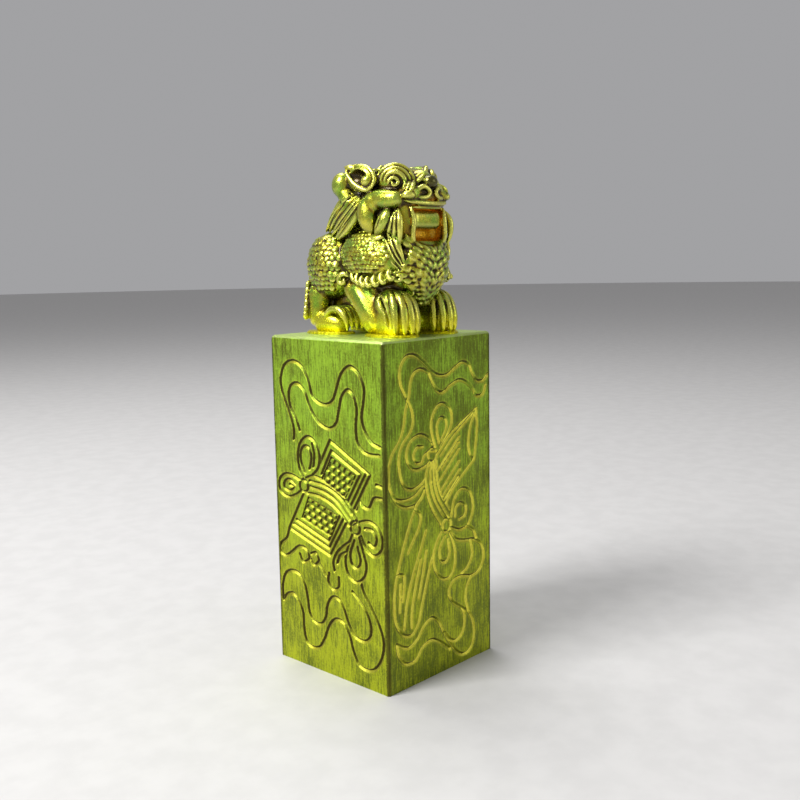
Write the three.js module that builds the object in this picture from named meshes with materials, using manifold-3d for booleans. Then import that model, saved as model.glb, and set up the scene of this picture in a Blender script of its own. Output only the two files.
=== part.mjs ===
// Square brass seal stamp with a cast guardian beast as its knob.
// Millimetres, +Z up. The origin is the middle of the seal face, which stands on the table.
// The beast faces -Y, so its right side is -X.
import * as THREE from "three";
import { mergeVertices } from "three/addons/utils/BufferGeometryUtils.js";
import Module from "manifold-3d";

const wasm = await Module();
wasm.setup();

// Column
const COLUMN_SIDE = 22;
const COLUMN_HEIGHT = 47;
const EDGE_CHAMFER = 0.5;
const TOP_ROUND = 0.7;

// Seal face: a raised border round four key frets
const FACE_DEPTH = 0.8;
const BORDER_WIDTH = 1.2;
const FRET_BAR = 0.9;
const FRET_GAP = 0.8;

// V-shaped engraved grooves, with their facets for each point that a line is drawn through
const GROOVE_WIDTH = 0.56;
const GROOVE_DEPTH = 0.26;
const FACETS_PER_POINT = 0.88;

// Joint between the knob and the column
const BRAZE_THICKNESS = 0.35;
const BRAZE_SPREAD = 0.35;
const PIN_RADIUS = 0.95;
const PIN_CLEARANCE = 0.05;
const PIN_CHAMFER = 0.2;
const PIN_IN_COLUMN = 5;
const PIN_IN_FOOT = 2.4;
const SOCKET_END_GAP = 0.3;
const OVAL_SEGMENTS = 10;

// Stations of the beast: half the spacing across, the place along Y and the height above the column
const FORE_FOOT = { x: 4.0, y: -6.0, halfWidth: 2.5, halfLength: 3.9 };
const HIND_FOOT = { x: 4.3, y: 5.6, halfWidth: 2.1, halfLength: 3.9 };
const SOLE_HEIGHT = 0.9;
const SHOULDER = { x: 3.9, y: -2.2, z: 10.2 };
const HAUNCH = { x: 3.5, y: 5.5, z: 9.5 };
const CHEST = { x: 0, y: -4.6, z: 8.4 };
const HEAD = { x: 0, y: -4.0, z: 17.6 };
const CHIN = { x: 0, y: -7.9, z: 11.6 };

// Numbers of repeated forms on each side of the beast, and along its tail
const FORE_CLAWS = 4;
const HIND_TOES = 3;
const MANE_LOCKS = 5;
const WHISKERS = 3;
const FRINGE_BEADS = 6;
const TAIL_BEADS = 5;

// Engraved lines of the right and left sides, two bound pages tied with a bow, between ribbons:
// millimetres from the side's left edge as one looks at it, and height
const PAGE_DESIGN = {
  upperOuter: [
    [4.4, 32.6], [4.4, 34.4], [3.7, 36.2], [2.8, 38], [2.1, 39.6], [2, 41.2], [2.9, 43], [4.8, 43.6],
    [6.6, 42.8], [7.8, 41], [8.4, 39.2], [9.6, 38.3], [11.2, 38.1], [12.5, 38.8], [13.2, 40.2],
    [14.2, 42.4], [15.8, 43.5], [17.4, 42.8], [18.4, 41], [18.3, 39], [17.9, 37], [18.4, 35.4],
    [19.6, 33.9], [21.2, 33.4],
  ],
  upperInner: [
    [5.7, 34], [5, 35.6], [3.8, 37.4], [3.6, 39.2], [4.3, 40.3], [5.6, 40.5], [6.9, 39.6], [7.7, 38],
    [8.7, 36.4], [10, 35.3], [11.7, 34.9], [13, 35.7], [13.6, 37.4], [14.2, 39.4], [15.3, 40.4],
    [16.4, 39.8], [17, 38], [16.8, 35.8], [17, 33.8], [18.4, 32.4], [21, 32.3],
  ],
  lowerUpper: [
    [0.9, 8.8], [0.9, 10.8], [1.6, 12.6], [3, 13.4], [4.6, 13.2], [5.8, 11.8], [6.3, 9.8], [6.6, 8],
    [7.6, 6.9], [9, 6.9], [10, 8.2], [10.4, 10], [11.4, 11.3], [12.8, 11.3], [13.8, 10], [14.6, 8.2],
    [15.8, 6.8], [17.4, 6.5], [18.6, 7.4], [18.8, 9], [18, 10.8], [16.8, 12], [15.4, 13],
  ],
  lowerLower: [
    [1, 8.6], [1.8, 9.6], [3.2, 10], [4.4, 9.2], [5.2, 7.6], [5.3, 5.6], [5.7, 3.8], [6.8, 3],
    [8.4, 3.3], [9.6, 4.9], [10.6, 7], [12, 8.3], [13.6, 8.1], [14.7, 6.6], [15.4, 4.6], [16.4, 3],
    [18, 2.6], [19.6, 3.3], [20.8, 5.2], [21.1, 7.4], [20.3, 9.6], [19, 11.5], [17.6, 13.4],
    [17.2, 14.4],
  ],
  upperPageTop: [[11.7, 33.3], [19.2, 29.5]],
  upperPageSide: [[19.2, 29.5], [16.1, 24.5]],
  upperPageSpine: [[11.7, 33.3], [9.6, 29.8]],
  lowerPageSpine: [[6, 25], [2.8, 19.7]],
  lowerPageFoot: [[2.8, 19.7], [11.2, 17.2]],
  lowerPageSide: [[11.2, 17.2], [14.5, 22.3]],
  strapTop: [[6.4, 27.3], [8.4, 27.9], [11, 27.3], [13.4, 26.2], [15.2, 24.9], [16.3, 23.4]],
  strapBottom: [[6.9, 25.3], [8.8, 25.3], [11, 24.8], [13.2, 23.7], [15, 22.1]],
  tallBow: [
    [6.2, 27.4], [5.3, 28.8], [5.1, 30.6], [5.7, 32.3], [7.2, 33.3], [8.8, 32.6], [9.6, 30.8],
    [9.1, 29], [7.8, 27.8],
  ],
  smallBow: [
    [5.6, 26.9], [3.8, 27.4], [2, 27.3], [0.9, 26.2], [1.2, 24.8], [2.8, 24.2], [4.4, 24.7],
    [5.6, 25.5],
  ],
  rightBow: [
    [17.1, 22.9], [18.8, 23.3], [20.4, 22.7], [21.3, 21.2], [20.9, 19.6], [19.6, 18.8], [18.3, 19.5],
    [17.3, 21],
  ],
  hangingBow: [
    [15.6, 20.9], [14.7, 18.9], [14.2, 16.9], [14.8, 15.2], [16.2, 14.5], [17.6, 15.3], [18.2, 17],
    [17.7, 18.8], [16.9, 20.8],
  ],
};

// The same for the front and back sides, a tied scroll with a feathered end, among ribbons
const PLUME_DESIGN = {
  upperOuter: [
    [21.3, 40.9], [20.2, 40.1], [18.8, 40.3], [17.8, 41.4], [17.1, 42.6], [15.7, 43.1], [14.2, 42.5],
    [12.6, 41.7], [11, 41.7], [9.4, 42.4], [7.7, 43.8], [6, 44.8], [4.3, 44.7], [3.2, 43.3],
    [3.2, 41.3], [4.1, 39.6], [5.1, 38], [5.5, 36.2], [4.9, 34.8], [3.5, 33.5], [2.7, 31.8],
    [2.8, 29.6], [3.6, 27.8], [5.2, 27.1], [6.9, 27.5], [7.9, 28.2],
  ],
  upperInner: [
    [20.8, 39.4], [20.2, 38.2], [18.8, 38.1], [17.8, 39.2], [16.6, 40.2], [15, 40.7], [13.3, 40.2],
    [11.6, 39.4], [10.3, 39.8], [9.3, 41.1], [8.5, 42.4], [7.1, 42.9], [5.8, 42.5], [5.1, 41.2],
    [4.8, 39.6], [4.1, 37.8], [3.7, 35.8], [2.9, 34], [1.4, 32.3], [0.7, 30.2], [0.9, 27.8],
    [2.2, 26.3], [4.2, 25.9], [6, 26.3], [7.3, 27.1],
  ],
  rightRibbon: [
    [12.9, 19.7], [14.1, 18.4], [16, 17.8], [18, 17.5], [19.6, 16.4], [20.2, 14.5], [19.3, 12.8],
    [17.4, 12.3], [15.2, 12.8], [13.4, 12.5], [12.4, 11.1], [13, 9.7], [14.8, 8.4], [16.7, 7],
    [17.7, 5.2], [17.9, 3.2], [17.2, 1.6], [15.7, 1.1], [14.1, 1.9], [12.7, 3.4], [11.3, 5.4],
    [10.2, 7.4], [8.8, 8.4], [7.2, 7.8], [5.8, 6.3], [3.9, 5.6], [1.7, 6.7],
  ],
  lowerEdge: [
    [1.7, 6.5], [2.2, 4.7], [3.7, 3.4], [5.5, 3.5], [6.8, 4.8], [8.6, 5.3], [10.4, 4.5], [12.6, 2.8],
  ],
  topQuill: [[10.4, 31.1], [13.4, 33.6], [18.7, 36.3]],
  secondQuill: [[10.4, 28.9], [14.9, 32.8]],
  thirdQuill: [[10.6, 27.2], [14.9, 31.1]],
  fourthQuill: [[11.1, 26], [14.9, 29.4]],
  lastQuill: [[12, 24], [14.4, 26.4], [18.2, 29.1]],
  leafInnerEdge: [[18.7, 36], [17.4, 34], [16.9, 31.6], [17.3, 29.8], [18.2, 29.1]],
  leafOuterEdge: [[18.7, 36], [18.8, 33.4], [18.2, 29.1]],
  topBow: [
    [9.8, 32.2], [9.1, 34.4], [9.3, 36.2], [10.4, 37.6], [11.8, 37.8], [13.1, 36.7], [13.3, 35],
    [12.4, 33.4], [10.9, 31.9],
  ],
  leftBow: [
    [9.3, 32.6], [8.3, 33.7], [6.7, 34.2], [5, 33.6], [4.2, 32.2], [4.4, 30.7], [5.7, 29.7],
    [7.4, 29.7], [8.9, 30.3],
  ],
  leftStrap: [[8.5, 30.1], [7.9, 28], [8.3, 25.6], [9.3, 23.4], [10.9, 21.2]],
  rightStrap: [[10, 30.2], [10.2, 27.6], [11, 25.2], [12.3, 23.4], [13.2, 22.2]],
  rightBow: [
    [13.1, 21.9], [13.7, 24], [15.1, 25.3], [16.7, 25], [17.7, 23.4], [17.7, 21.4], [16.6, 19.9],
    [14.8, 19.6], [13.1, 20.3],
  ],
  hangingBow: [
    [11, 20.1], [9.6, 18.2], [9.3, 16], [10.1, 14.2], [11.7, 13.2], [13.1, 13.6], [13.8, 15.2],
    [13.7, 17.2], [12.6, 19.8],
  ],
  scrollOutline: [
    [7.6, 26.6], [5.7, 24.4], [4.1, 21.4], [2.7, 18], [1.7, 15], [1.3, 12], [1.7, 9.4], [3, 7.7],
    [4.7, 7.2], [6, 8.4], [6.8, 10.8], [8, 14.3], [9.1, 17.1], [10.6, 19.8],
  ],
};

// Facets thinner than this are merged into their neighbours
const SLIVER = 0.01;

const RIGHT = -1;
const LEFT = 1;
const ACROSS = new THREE.Vector3(1, 0, 0);
const UP = new THREE.Vector3(0, 0, 1);

// Turns a closed three.js geometry into a solid, without the flat triangles at its poles
function solid(geometry) {
  const bare = new THREE.BufferGeometry();
  bare.setAttribute("position", geometry.getAttribute("position"));
  bare.setIndex(geometry.index);
  const merged = mergeVertices(bare, 1e-4);
  const corners = Array.from(merged.index.array);
  const triangles = [];
  for (let i = 0; i < corners.length; i += 3) {
    const [a, b, c] = corners.slice(i, i + 3);
    if (a !== b && b !== c && c !== a) triangles.push(a, b, c);
  }
  return new wasm.Manifold(new wasm.Mesh({
    numProp: 3,
    vertProperties: merged.attributes.position.array,
    triVerts: Uint32Array.from(triangles),
  }));
}

// Turns a solid back into a named mesh
function piece(name, body, material) {
  const { vertProperties, triVerts } = body.getMesh();
  const geometry = new THREE.BufferGeometry();
  geometry.setAttribute("position", new THREE.BufferAttribute(vertProperties, 3));
  geometry.setIndex(new THREE.BufferAttribute(triVerts, 1));
  geometry.computeVertexNormals();
  const mesh = new THREE.Mesh(geometry, material);
  mesh.name = name;
  return mesh;
}

// Joins bodies, and drops the slivers that joining leaves along the seams
function join(bodies) {
  return bodies.reduce((whole, body) => whole.add(body)).simplify(SLIVER);
}

function mix(from, to, share) {
  return from + (to - from) * share;
}

// A place measured from a station, on one side of the beast
function place(station, side, across, along, up) {
  return new THREE.Vector3(side * (station.x + across), station.y + along, station.z + up);
}

// A ball squashed to three radii and tipped about the beast's own left-to-right axis
function ball(centre, radii, rings = 6, tip = 0) {
  const shape = new THREE.SphereGeometry(1, rings + 3, rings);
  const turn = new THREE.Quaternion().setFromAxisAngle(ACROSS, tip);
  shape.applyMatrix4(new THREE.Matrix4().compose(centre, turn, new THREE.Vector3(...radii)));
  return solid(shape);
}

// A tapered round-ended limb: a lathed spindle bent along a curve through the given points
function limb(points, radii, { flatten = 1, sides = 6, rings = 6, across = ACROSS } = {}) {
  const curve = new THREE.CatmullRomCurve3(points);
  const profile = [];
  const sizes = new THREE.CatmullRomCurve3(radii.map((r, i) => new THREE.Vector3(i, r, 0)));
  for (let i = 0; i <= rings; i++) {
    const along = (1 - Math.cos((Math.PI * i) / rings)) / 2;
    const round = Math.sqrt(Math.max(0, 1 - Math.abs(2 * along - 1) ** 6));
    profile.push(new THREE.Vector2(sizes.getPoint(along).y * round, along));
  }
  const shape = new THREE.LatheGeometry(profile, sides);
  const spots = shape.getAttribute("position");
  for (let i = 0; i < spots.count; i++) {
    const spot = new THREE.Vector3().fromBufferAttribute(spots, i);
    const share = THREE.MathUtils.clamp(spot.y, 0, 1);
    const forward = curve.getTangentAt(share);
    const sideways = across.clone().addScaledVector(forward, -across.dot(forward)).normalize();
    const upward = new THREE.Vector3().crossVectors(sideways, forward);
    const bent = curve.getPointAt(share).addScaledVector(sideways, spot.x * flatten);
    bent.addScaledVector(upward, spot.z);
    spots.setXYZ(i, bent.x, bent.y, bent.z);
  }
  return solid(shape);
}

function block(centre, size) {
  return solid(new THREE.BoxGeometry(...size).translate(centre.x, centre.y, centre.z));
}

// Everything under a height, to cut a form off level
function below(height) {
  const reach = 2 * COLUMN_SIDE;
  return block(new THREE.Vector3(0, 0, height - reach / 2), [reach, reach, reach]);
}

// A straight bar from one height to another, with an outline in the XY plane
function bar(outline, low, high, chamfer = 0) {
  const shape = new THREE.ExtrudeGeometry(outline, {
    depth: high - low - 2 * chamfer,
    bevelEnabled: chamfer > 0,
    bevelThickness: chamfer,
    bevelSize: chamfer,
    bevelOffset: -chamfer,
    bevelSegments: 1,
    curveSegments: OVAL_SEGMENTS,
  });
  return solid(shape.translate(0, 0, low + chamfer));
}

function oval(x, y, halfWidth, halfLength) {
  const outline = new THREE.Shape();
  outline.absellipse(x, y, halfWidth, halfLength, 0, 2 * Math.PI);
  return outline;
}

function pinRound(spot, radius, low, high, chamfer = 0) {
  return bar(oval(spot.x, spot.y, radius, radius), low, high, chamfer);
}

// The two dowels stand on a diagonal, in the right forepaw and the left hind foot
const PIN_SPOTS = {
  locating_pin_front: { x: RIGHT * FORE_FOOT.x, y: FORE_FOOT.y },
  locating_pin_rear: { x: LEFT * HIND_FOOT.x, y: HIND_FOOT.y },
};

function chamferedSquare(side, chamfer) {
  const half = side / 2;
  const outline = new THREE.Shape();
  outline.moveTo(half, chamfer - half);
  outline.lineTo(half, half - chamfer);
  outline.lineTo(half - chamfer, half);
  outline.lineTo(chamfer - half, half);
  outline.lineTo(-half, half - chamfer);
  outline.lineTo(-half, chamfer - half);
  outline.lineTo(chamfer - half, -half);
  outline.lineTo(half - chamfer, -half);
  outline.closePath();
  return outline;
}

// The prism keeps crisp edges at the seal face, and its top edges are rounded over
function columnBlank() {
  const rounded = new THREE.ExtrudeGeometry(chamferedSquare(COLUMN_SIDE, EDGE_CHAMFER), {
    depth: COLUMN_HEIGHT - 2 * TOP_ROUND,
    bevelThickness: TOP_ROUND,
    bevelSize: TOP_ROUND,
    bevelOffset: -TOP_ROUND,
    bevelSegments: 4,
  });
  const foot = bar(chamferedSquare(COLUMN_SIDE, EDGE_CHAMFER), 0, COLUMN_HEIGHT / 2);
  return join([solid(rounded.translate(0, 0, TOP_ROUND)), foot]);
}

// One key fret: bars that wind inwards through three turns of a square spiral
function keyFret(centreX, centreY, reach) {
  const step = FRET_BAR + FRET_GAP;
  const bars = [];
  let x = -reach;
  let y = -reach;
  let run = 2 * reach;
  const headings = [[1, 0], [0, 1], [-1, 0], [0, -1]];
  for (let turn = 0; run > FRET_BAR; turn++) {
    const [dx, dy] = headings[turn % headings.length];
    const size = [Math.abs(dx) * run + FRET_BAR, Math.abs(dy) * run + FRET_BAR, FACE_DEPTH];
    const middle = new THREE.Vector3(
      centreX + x + (dx * run) / 2, centreY + y + (dy * run) / 2, FACE_DEPTH / 2);
    bars.push(block(middle, size));
    x += dx * run;
    y += dy * run;
    if (turn > 0) run -= step;
  }
  return join(bars);
}

function sealFace() {
  const field = COLUMN_SIDE - 2 * BORDER_WIDTH;
  const recess = block(new THREE.Vector3(0, 0, FACE_DEPTH / 2), [field, field, FACE_DEPTH]);
  const reach = (field - 3 * FRET_GAP) / 4 - FRET_BAR / 2;
  const middle = reach + (FRET_BAR + FRET_GAP) / 2;
  const frets = [];
  for (const x of [-middle, middle]) {
    for (const y of [-middle, middle]) frets.push(keyFret(x, y, reach));
  }
  return recess.subtract(join(frets));
}

// The cutter of one engraved line, with x across the side, y up and z outwards from the side's surface
function groove(points) {
  const line = new THREE.CatmullRomCurve3(points.map(([across, up]) => new THREE.Vector3(across, up, 0)));
  const section = new THREE.Shape([
    new THREE.Vector2(-GROOVE_DEPTH, -GROOVE_WIDTH / 2),
    new THREE.Vector2(0, -GROOVE_WIDTH / 2),
    new THREE.Vector2(GROOVE_DEPTH, 0),
    new THREE.Vector2(0, GROOVE_WIDTH / 2),
    new THREE.Vector2(-GROOVE_DEPTH, GROOVE_WIDTH / 2),
  ]);
  return solid(new THREE.ExtrudeGeometry(section, {
    steps: Math.round(FACETS_PER_POINT * (points.length - 1)),
    extrudePath: line,
    bevelEnabled: false,
  }));
}

// The grooves of all four sides. Opposite sides carry the same design.
function engraving() {
  const cutters = [];
  for (const [design, turns] of [[PLUME_DESIGN, [0, 2]], [PAGE_DESIGN, [1, 3]]]) {
    const lines = join(Object.values(design).map(groove)).translate([-COLUMN_SIDE / 2, 0, COLUMN_SIDE / 2]);
    for (const turn of turns) cutters.push(lines.rotate([90, 0, 0]).rotate([0, 0, -90 * turn]));
  }
  return cutters;
}

function sealColumn() {
  let body = columnBlank().subtract(sealFace());
  for (const cutter of engraving()) body = body.subtract(cutter);
  for (const spot of Object.values(PIN_SPOTS)) {
    const depth = PIN_IN_COLUMN + SOCKET_END_GAP;
    const socket = pinRound(spot, PIN_RADIUS + PIN_CLEARANCE, COLUMN_HEIGHT - depth, COLUMN_HEIGHT + 1);
    body = body.subtract(socket);
  }
  return body;
}

function torso() {
  return [
    ball(new THREE.Vector3(0, 0.8, 10.0), [4.2, 7.6, 4.9], 7),
    ball(place(CHEST, 1, 0, 0, 0), [4.6, 4.0, 5.2], 7),
    ball(new THREE.Vector3(0, 5.4, 9.6), [4.1, 4.7, 5.0], 8),
    ball(new THREE.Vector3(0, 0.6, 14.2), [4.3, 4.8, 4.4], 7),
    ball(new THREE.Vector3(0, 1.8, 4.6), [3.2, 7.4, 4.2], 6),
  ];
}

function foreleg(side) {
  const parts = [
    ball(place(SHOULDER, side, 0, 0, 0), [2.5, 5.4, 3.8], 8, 0.05),
    limb(
      [
        place(SHOULDER, side, -0.1, 2.6, -1.6),
        place(SHOULDER, side, 0.1, 0.6, -5.2),
        new THREE.Vector3(side * FORE_FOOT.x, FORE_FOOT.y + 1.3, -SOLE_HEIGHT),
      ],
      [2.8, 2.8, 2.8],
      { flatten: 0.72 },
    ),
    ball(new THREE.Vector3(side * FORE_FOOT.x, FORE_FOOT.y - 0.8, 2.0), [2.4, 3.0, 2.5], 6),
    ball(place(SHOULDER, side, 1.7, 3.5, -2.4), [0.7, 0.9, 0.9], 4),
  ];
  for (let i = 0; i < FRINGE_BEADS; i++) {
    const share = i / (FRINGE_BEADS - 1);
    const sag = Math.sin(Math.PI * share);
    const spot = place(SHOULDER, side, 1.1 + 0.5 * sag, mix(1.8, -4.2, share), -2.0 - 0.9 * sag);
    parts.push(ball(spot, [0.5, 0.55, 0.6], 3));
  }
  for (let i = 0; i < FORE_CLAWS; i++) {
    const share = i / (FORE_CLAWS - 1) - 0.5;
    const x = side * (FORE_FOOT.x + 3.7 * share);
    const back = 1.6 * share;
    parts.push(limb(
      [
        new THREE.Vector3(x, FORE_FOOT.y - 0.8 + back, 4.0 - Math.abs(share)),
        new THREE.Vector3(x, FORE_FOOT.y - 3.0 + back, 3.1),
        new THREE.Vector3(x, FORE_FOOT.y - 3.9 + back, 0.5),
      ],
      [0.6, 0.62, 0.25],
      { sides: 5, rings: 4 },
    ));
  }
  return parts;
}

function hindLeg(side) {
  const parts = [
    ball(place(HAUNCH, side, 0, 0, 0), [2.6, 4.5, 4.7], 8, -0.15),
    limb(
      [
        new THREE.Vector3(side * (HIND_FOOT.x - 0.3), HIND_FOOT.y + 2.4, 6.6),
        new THREE.Vector3(side * HIND_FOOT.x, HIND_FOOT.y + 2.7, 3.6),
        new THREE.Vector3(side * HIND_FOOT.x, HIND_FOOT.y + 2.2, 1.4),
      ],
      [1.9, 1.6, 1.8],
    ),
    limb(
      [
        new THREE.Vector3(side * HIND_FOOT.x, HIND_FOOT.y + 2.4, 1.7),
        new THREE.Vector3(side * HIND_FOOT.x, HIND_FOOT.y - 0.4, 2.0),
        new THREE.Vector3(side * HIND_FOOT.x, HIND_FOOT.y - 2.8, 1.3),
      ],
      [1.9, 2.0, 1.5],
    ),
  ];
  for (let i = 0; i < HIND_TOES; i++) {
    const share = i / (HIND_TOES - 1) - 0.5;
    const x = side * (HIND_FOOT.x + 2.6 * share);
    parts.push(limb(
      [
        new THREE.Vector3(x, HIND_FOOT.y - 1.4, 2.7),
        new THREE.Vector3(x, HIND_FOOT.y - 3.1, 2.4),
        new THREE.Vector3(x, HIND_FOOT.y - 3.9, 0.5),
      ],
      [0.7, 0.7, 0.3],
      { sides: 5, rings: 4 },
    ));
  }
  return parts;
}

// The tail comes down over the rump and wraps round the right haunch
function tail() {
  const path = [
    new THREE.Vector3(0.4, 9.2, 12.0),
    new THREE.Vector3(-1.6, 9.7, 9.0),
    new THREE.Vector3(-3.7, 9.6, 6.0),
    new THREE.Vector3(-5.0, 9.3, 3.4),
  ];
  const parts = [limb(path, [0.9, 0.8, 0.7, 0.35])];
  const curve = new THREE.CatmullRomCurve3(path);
  for (let i = 0; i < TAIL_BEADS; i++) {
    const share = i / TAIL_BEADS;
    const size = mix(0.8, 0.45, share);
    const spot = curve.getPointAt(share).add(new THREE.Vector3(0, 0.25, 0));
    parts.push(ball(spot, [size, size, size], 4));
  }
  return parts;
}

function mane(side) {
  const parts = [];
  for (let i = 0; i < MANE_LOCKS; i++) {
    const share = i / (MANE_LOCKS - 1);
    parts.push(limb(
      [
        place(HEAD, side, mix(4.6, 0.9, share), mix(2.6, 7.0, share), mix(0.6, 2.8, share)),
        place(HEAD, side, mix(5.1, 1.1, share), mix(6.0, 10.2, share), mix(-1.4, 0.8, share)),
        place(HEAD, side, mix(4.8, 0.9, share), mix(9.6, 13.2, share), mix(-4.0, -3.0, share)),
      ],
      [0.75, 1.0, 0.25],
      { sides: 5, rings: 4 },
    ));
  }
  return parts;
}

function ear(side) {
  const shell = ball(place(HEAD, side, 4.4, 3.0, 3.3), [1.4, 2.4, 1.9], 6, 0.4);
  const hollow = ball(place(HEAD, side, 5.6, 2.8, 3.5), [1.5, 1.7, 1.3], 5, 0.4);
  const curl = ball(place(HEAD, side, 4.6, 1.6, 3.1), [0.8, 0.8, 0.8], 4);
  const lobe = ball(place(HEAD, side, 3.7, 7.2, 2.5), [1.4, 1.6, 1.7], 5);
  return [shell.subtract(hollow), curl, lobe];
}

function faceSide(side) {
  const eye = place(HEAD, side, 3.3, -2.1, 2.3);
  const parts = [
    ball(eye, [1.0, 1.15, 1.1], 5),
    ball(eye.clone().add(new THREE.Vector3(side * 0.7, -0.3, 0)), [0.5, 0.5, 0.5], 4),
    // brow
    limb(
      [
        place(HEAD, side, 4.2, -0.2, 2.7),
        place(HEAD, side, 3.6, -1.0, 4.3),
        place(HEAD, side, 2.7, -2.9, 4.4),
        place(HEAD, side, 2.1, -4.0, 3.0),
      ],
      [0.5, 0.75, 0.7, 0.4],
    ),
    // long cheek lobe and the small one in front of it
    limb(
      [place(HEAD, side, 4.3, 0.8, 0.9), place(HEAD, side, 4.9, 1.4, -1.2), place(HEAD, side, 4.9, 1.4, -3.8)],
      [1.3, 1.25, 0.4],
    ),
    limb(
      [place(HEAD, side, 4.4, -0.5, -0.4), place(HEAD, side, 4.9, -0.4, -2.2), place(HEAD, side, 4.8, 0.1, -3.6)],
      [0.8, 0.75, 0.3],
    ),
    // nostril and fang
    ball(place(HEAD, side, 1.35, -5.7, 1.7), [0.9, 0.8, 0.7], 4),
    limb([place(HEAD, side, 2.5, -5.4, 0.2), place(HEAD, side, 2.6, -5.9, -1.7)], [0.5, 0.2], { sides: 5, rings: 4 }),
    // crown tuft
    ball(place(HEAD, side, 1.6, 1.6, 4.5), [1.5, 1.6, 1.0], 5),
  ];
  for (let i = 0; i < WHISKERS; i++) {
    const share = i / (WHISKERS - 1);
    parts.push(limb(
      [
        place(HEAD, side, 4.2, mix(-0.8, -3.6, share), -1.6),
        place(HEAD, side, 4.3, mix(-2.0, -4.0, share), -4.4),
        place(HEAD, side, 3.9, mix(-3.0, -4.3, share), -7.6),
      ],
      [0.6, 0.7, 0.3],
      { sides: 5, rings: 4 },
    ));
  }
  return parts;
}

// The lip runs from one corner of the mouth round the muzzle to the other
function upperLip() {
  const half = (side) => [
    place(HEAD, side, 4.5, 1.0, 1.0),
    place(HEAD, side, 4.5, -1.6, 1.0),
    place(HEAD, side, 4.0, -4.2, 0.5),
    place(HEAD, side, 1.9, -5.4, 0.2),
  ];
  const path = [...half(RIGHT), ...half(LEFT).reverse()];
  return limb(path, [1.2, 1.1, 0.95, 0.8, 0.8, 0.95, 1.1, 1.2], { sides: 5, rings: 12, across: UP });
}

function head() {
  const skull = join([
    ball(place(HEAD, 1, 0, 1.4, 0.4), [4.7, 4.8, 4.6], 8),
    ball(place(HEAD, 1, 0, -1.4, 2.0), [4.1, 3.6, 2.9], 7),
    ball(place(HEAD, 1, 0, -1.4, -3.0), [4.3, 4.2, 4.6], 7),
    ball(place(HEAD, 1, 0, -3.5, 1.2), [3.9, 3.2, 2.0], 7),
  ]);
  const mouth = block(place(HEAD, 1, 0, -6.6, -2.6), [5.6, 5.0, 4.4]);
  const bridge = limb([place(HEAD, 1, 0, -0.6, 4.0), place(HEAD, 1, 0, -4.6, 3.0)], [1.9, 1.3]);
  const nose = ball(place(HEAD, 1, 0, -5.5, 2.7), [1.15, 0.95, 0.95], 5);
  const tongue = ball(place(HEAD, 1, 0, -4.4, -2.4), [2.2, 2.0, 1.5]);
  return [skull.subtract(mouth), bridge, nose, tongue, upperLip()];
}

// Chin and the hanging beard, which comes to a point between the forepaws
function beard() {
  const tip = [place(CHIN, 1, 0, -0.2, -2.6), place(CHIN, 1, 0, -0.5, -5.4), place(CHIN, 1, 0, -0.8, -8.2)];
  return [
    ball(place(CHIN, 1, 0, 0, 0), [4.2, 2.7, 1.6], 6),
    ball(place(CHIN, 1, 0, -0.1, -2.0), [4.5, 2.6, 3.4], 7),
    limb(tip, [2.8, 2.5, 0.6]),
  ];
}

// The flat soles stand on the braze and are cut level with each other
function sole(station, side) {
  const outline = oval(side * station.x, station.y, station.halfWidth, station.halfLength);
  return bar(outline, BRAZE_THICKNESS, SOLE_HEIGHT);
}

function beastKnob() {
  const parts = [...torso(), ...tail(), ...head(), ...beard()];
  for (const side of [RIGHT, LEFT]) {
    parts.push(...foreleg(side), ...hindLeg(side), ...mane(side), ...ear(side), ...faceSide(side));
  }
  let body = join(parts).subtract(below(BRAZE_THICKNESS));
  for (const side of [RIGHT, LEFT]) {
    body = body.add(sole(FORE_FOOT, side)).add(sole(HIND_FOOT, side));
  }
  const top = BRAZE_THICKNESS + PIN_IN_FOOT + SOCKET_END_GAP;
  for (const spot of Object.values(PIN_SPOTS)) {
    body = body.subtract(pinRound(spot, PIN_RADIUS + PIN_CLEARANCE, 0, top));
  }
  return body;
}

// The braze under one foot, squeezed out a little all round it, with the dowel's hole where one passes
function braze(station, side) {
  const outline = oval(
    side * station.x, station.y, station.halfWidth + BRAZE_SPREAD, station.halfLength + BRAZE_SPREAD);
  const rim = BRAZE_THICKNESS / 2;
  let body = bar(outline, -BRAZE_THICKNESS, BRAZE_THICKNESS, rim).subtract(below(0));
  for (const spot of Object.values(PIN_SPOTS)) {
    body = body.subtract(pinRound(spot, PIN_RADIUS + PIN_CLEARANCE, -1, 1));
  }
  return body;
}

const columnBrass = new THREE.MeshStandardMaterial({ color: 0x8f9a32, roughness: 0.42, metalness: 1 });
const knobBrass = new THREE.MeshStandardMaterial({ color: 0xc2b53a, roughness: 0.32, metalness: 1 });
const brazeBrass = new THREE.MeshStandardMaterial({ color: 0xd8c62a, roughness: 0.4, metalness: 1 });
const pinBrass = new THREE.MeshStandardMaterial({ color: 0xb89a4a, roughness: 0.35, metalness: 1 });

const seal = new THREE.Group();
seal.name = "seal_stamp";
seal.add(piece("seal_column", sealColumn(), columnBrass));

const knob = new THREE.Group();
knob.position.z = COLUMN_HEIGHT;
knob.add(piece("beast_knob", beastKnob(), knobBrass));
for (const [name, spot] of Object.entries(PIN_SPOTS)) {
  const dowel = pinRound(spot, PIN_RADIUS, -PIN_IN_COLUMN, BRAZE_THICKNESS + PIN_IN_FOOT, PIN_CHAMFER);
  knob.add(piece(name, dowel, pinBrass));
}
knob.add(piece("braze_right_forepaw", braze(FORE_FOOT, RIGHT), brazeBrass));
knob.add(piece("braze_left_forepaw", braze(FORE_FOOT, LEFT), brazeBrass));
knob.add(piece("braze_right_hind_foot", braze(HIND_FOOT, RIGHT), brazeBrass));
knob.add(piece("braze_left_hind_foot", braze(HIND_FOOT, LEFT), brazeBrass));
seal.add(knob);

export default seal;
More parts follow.
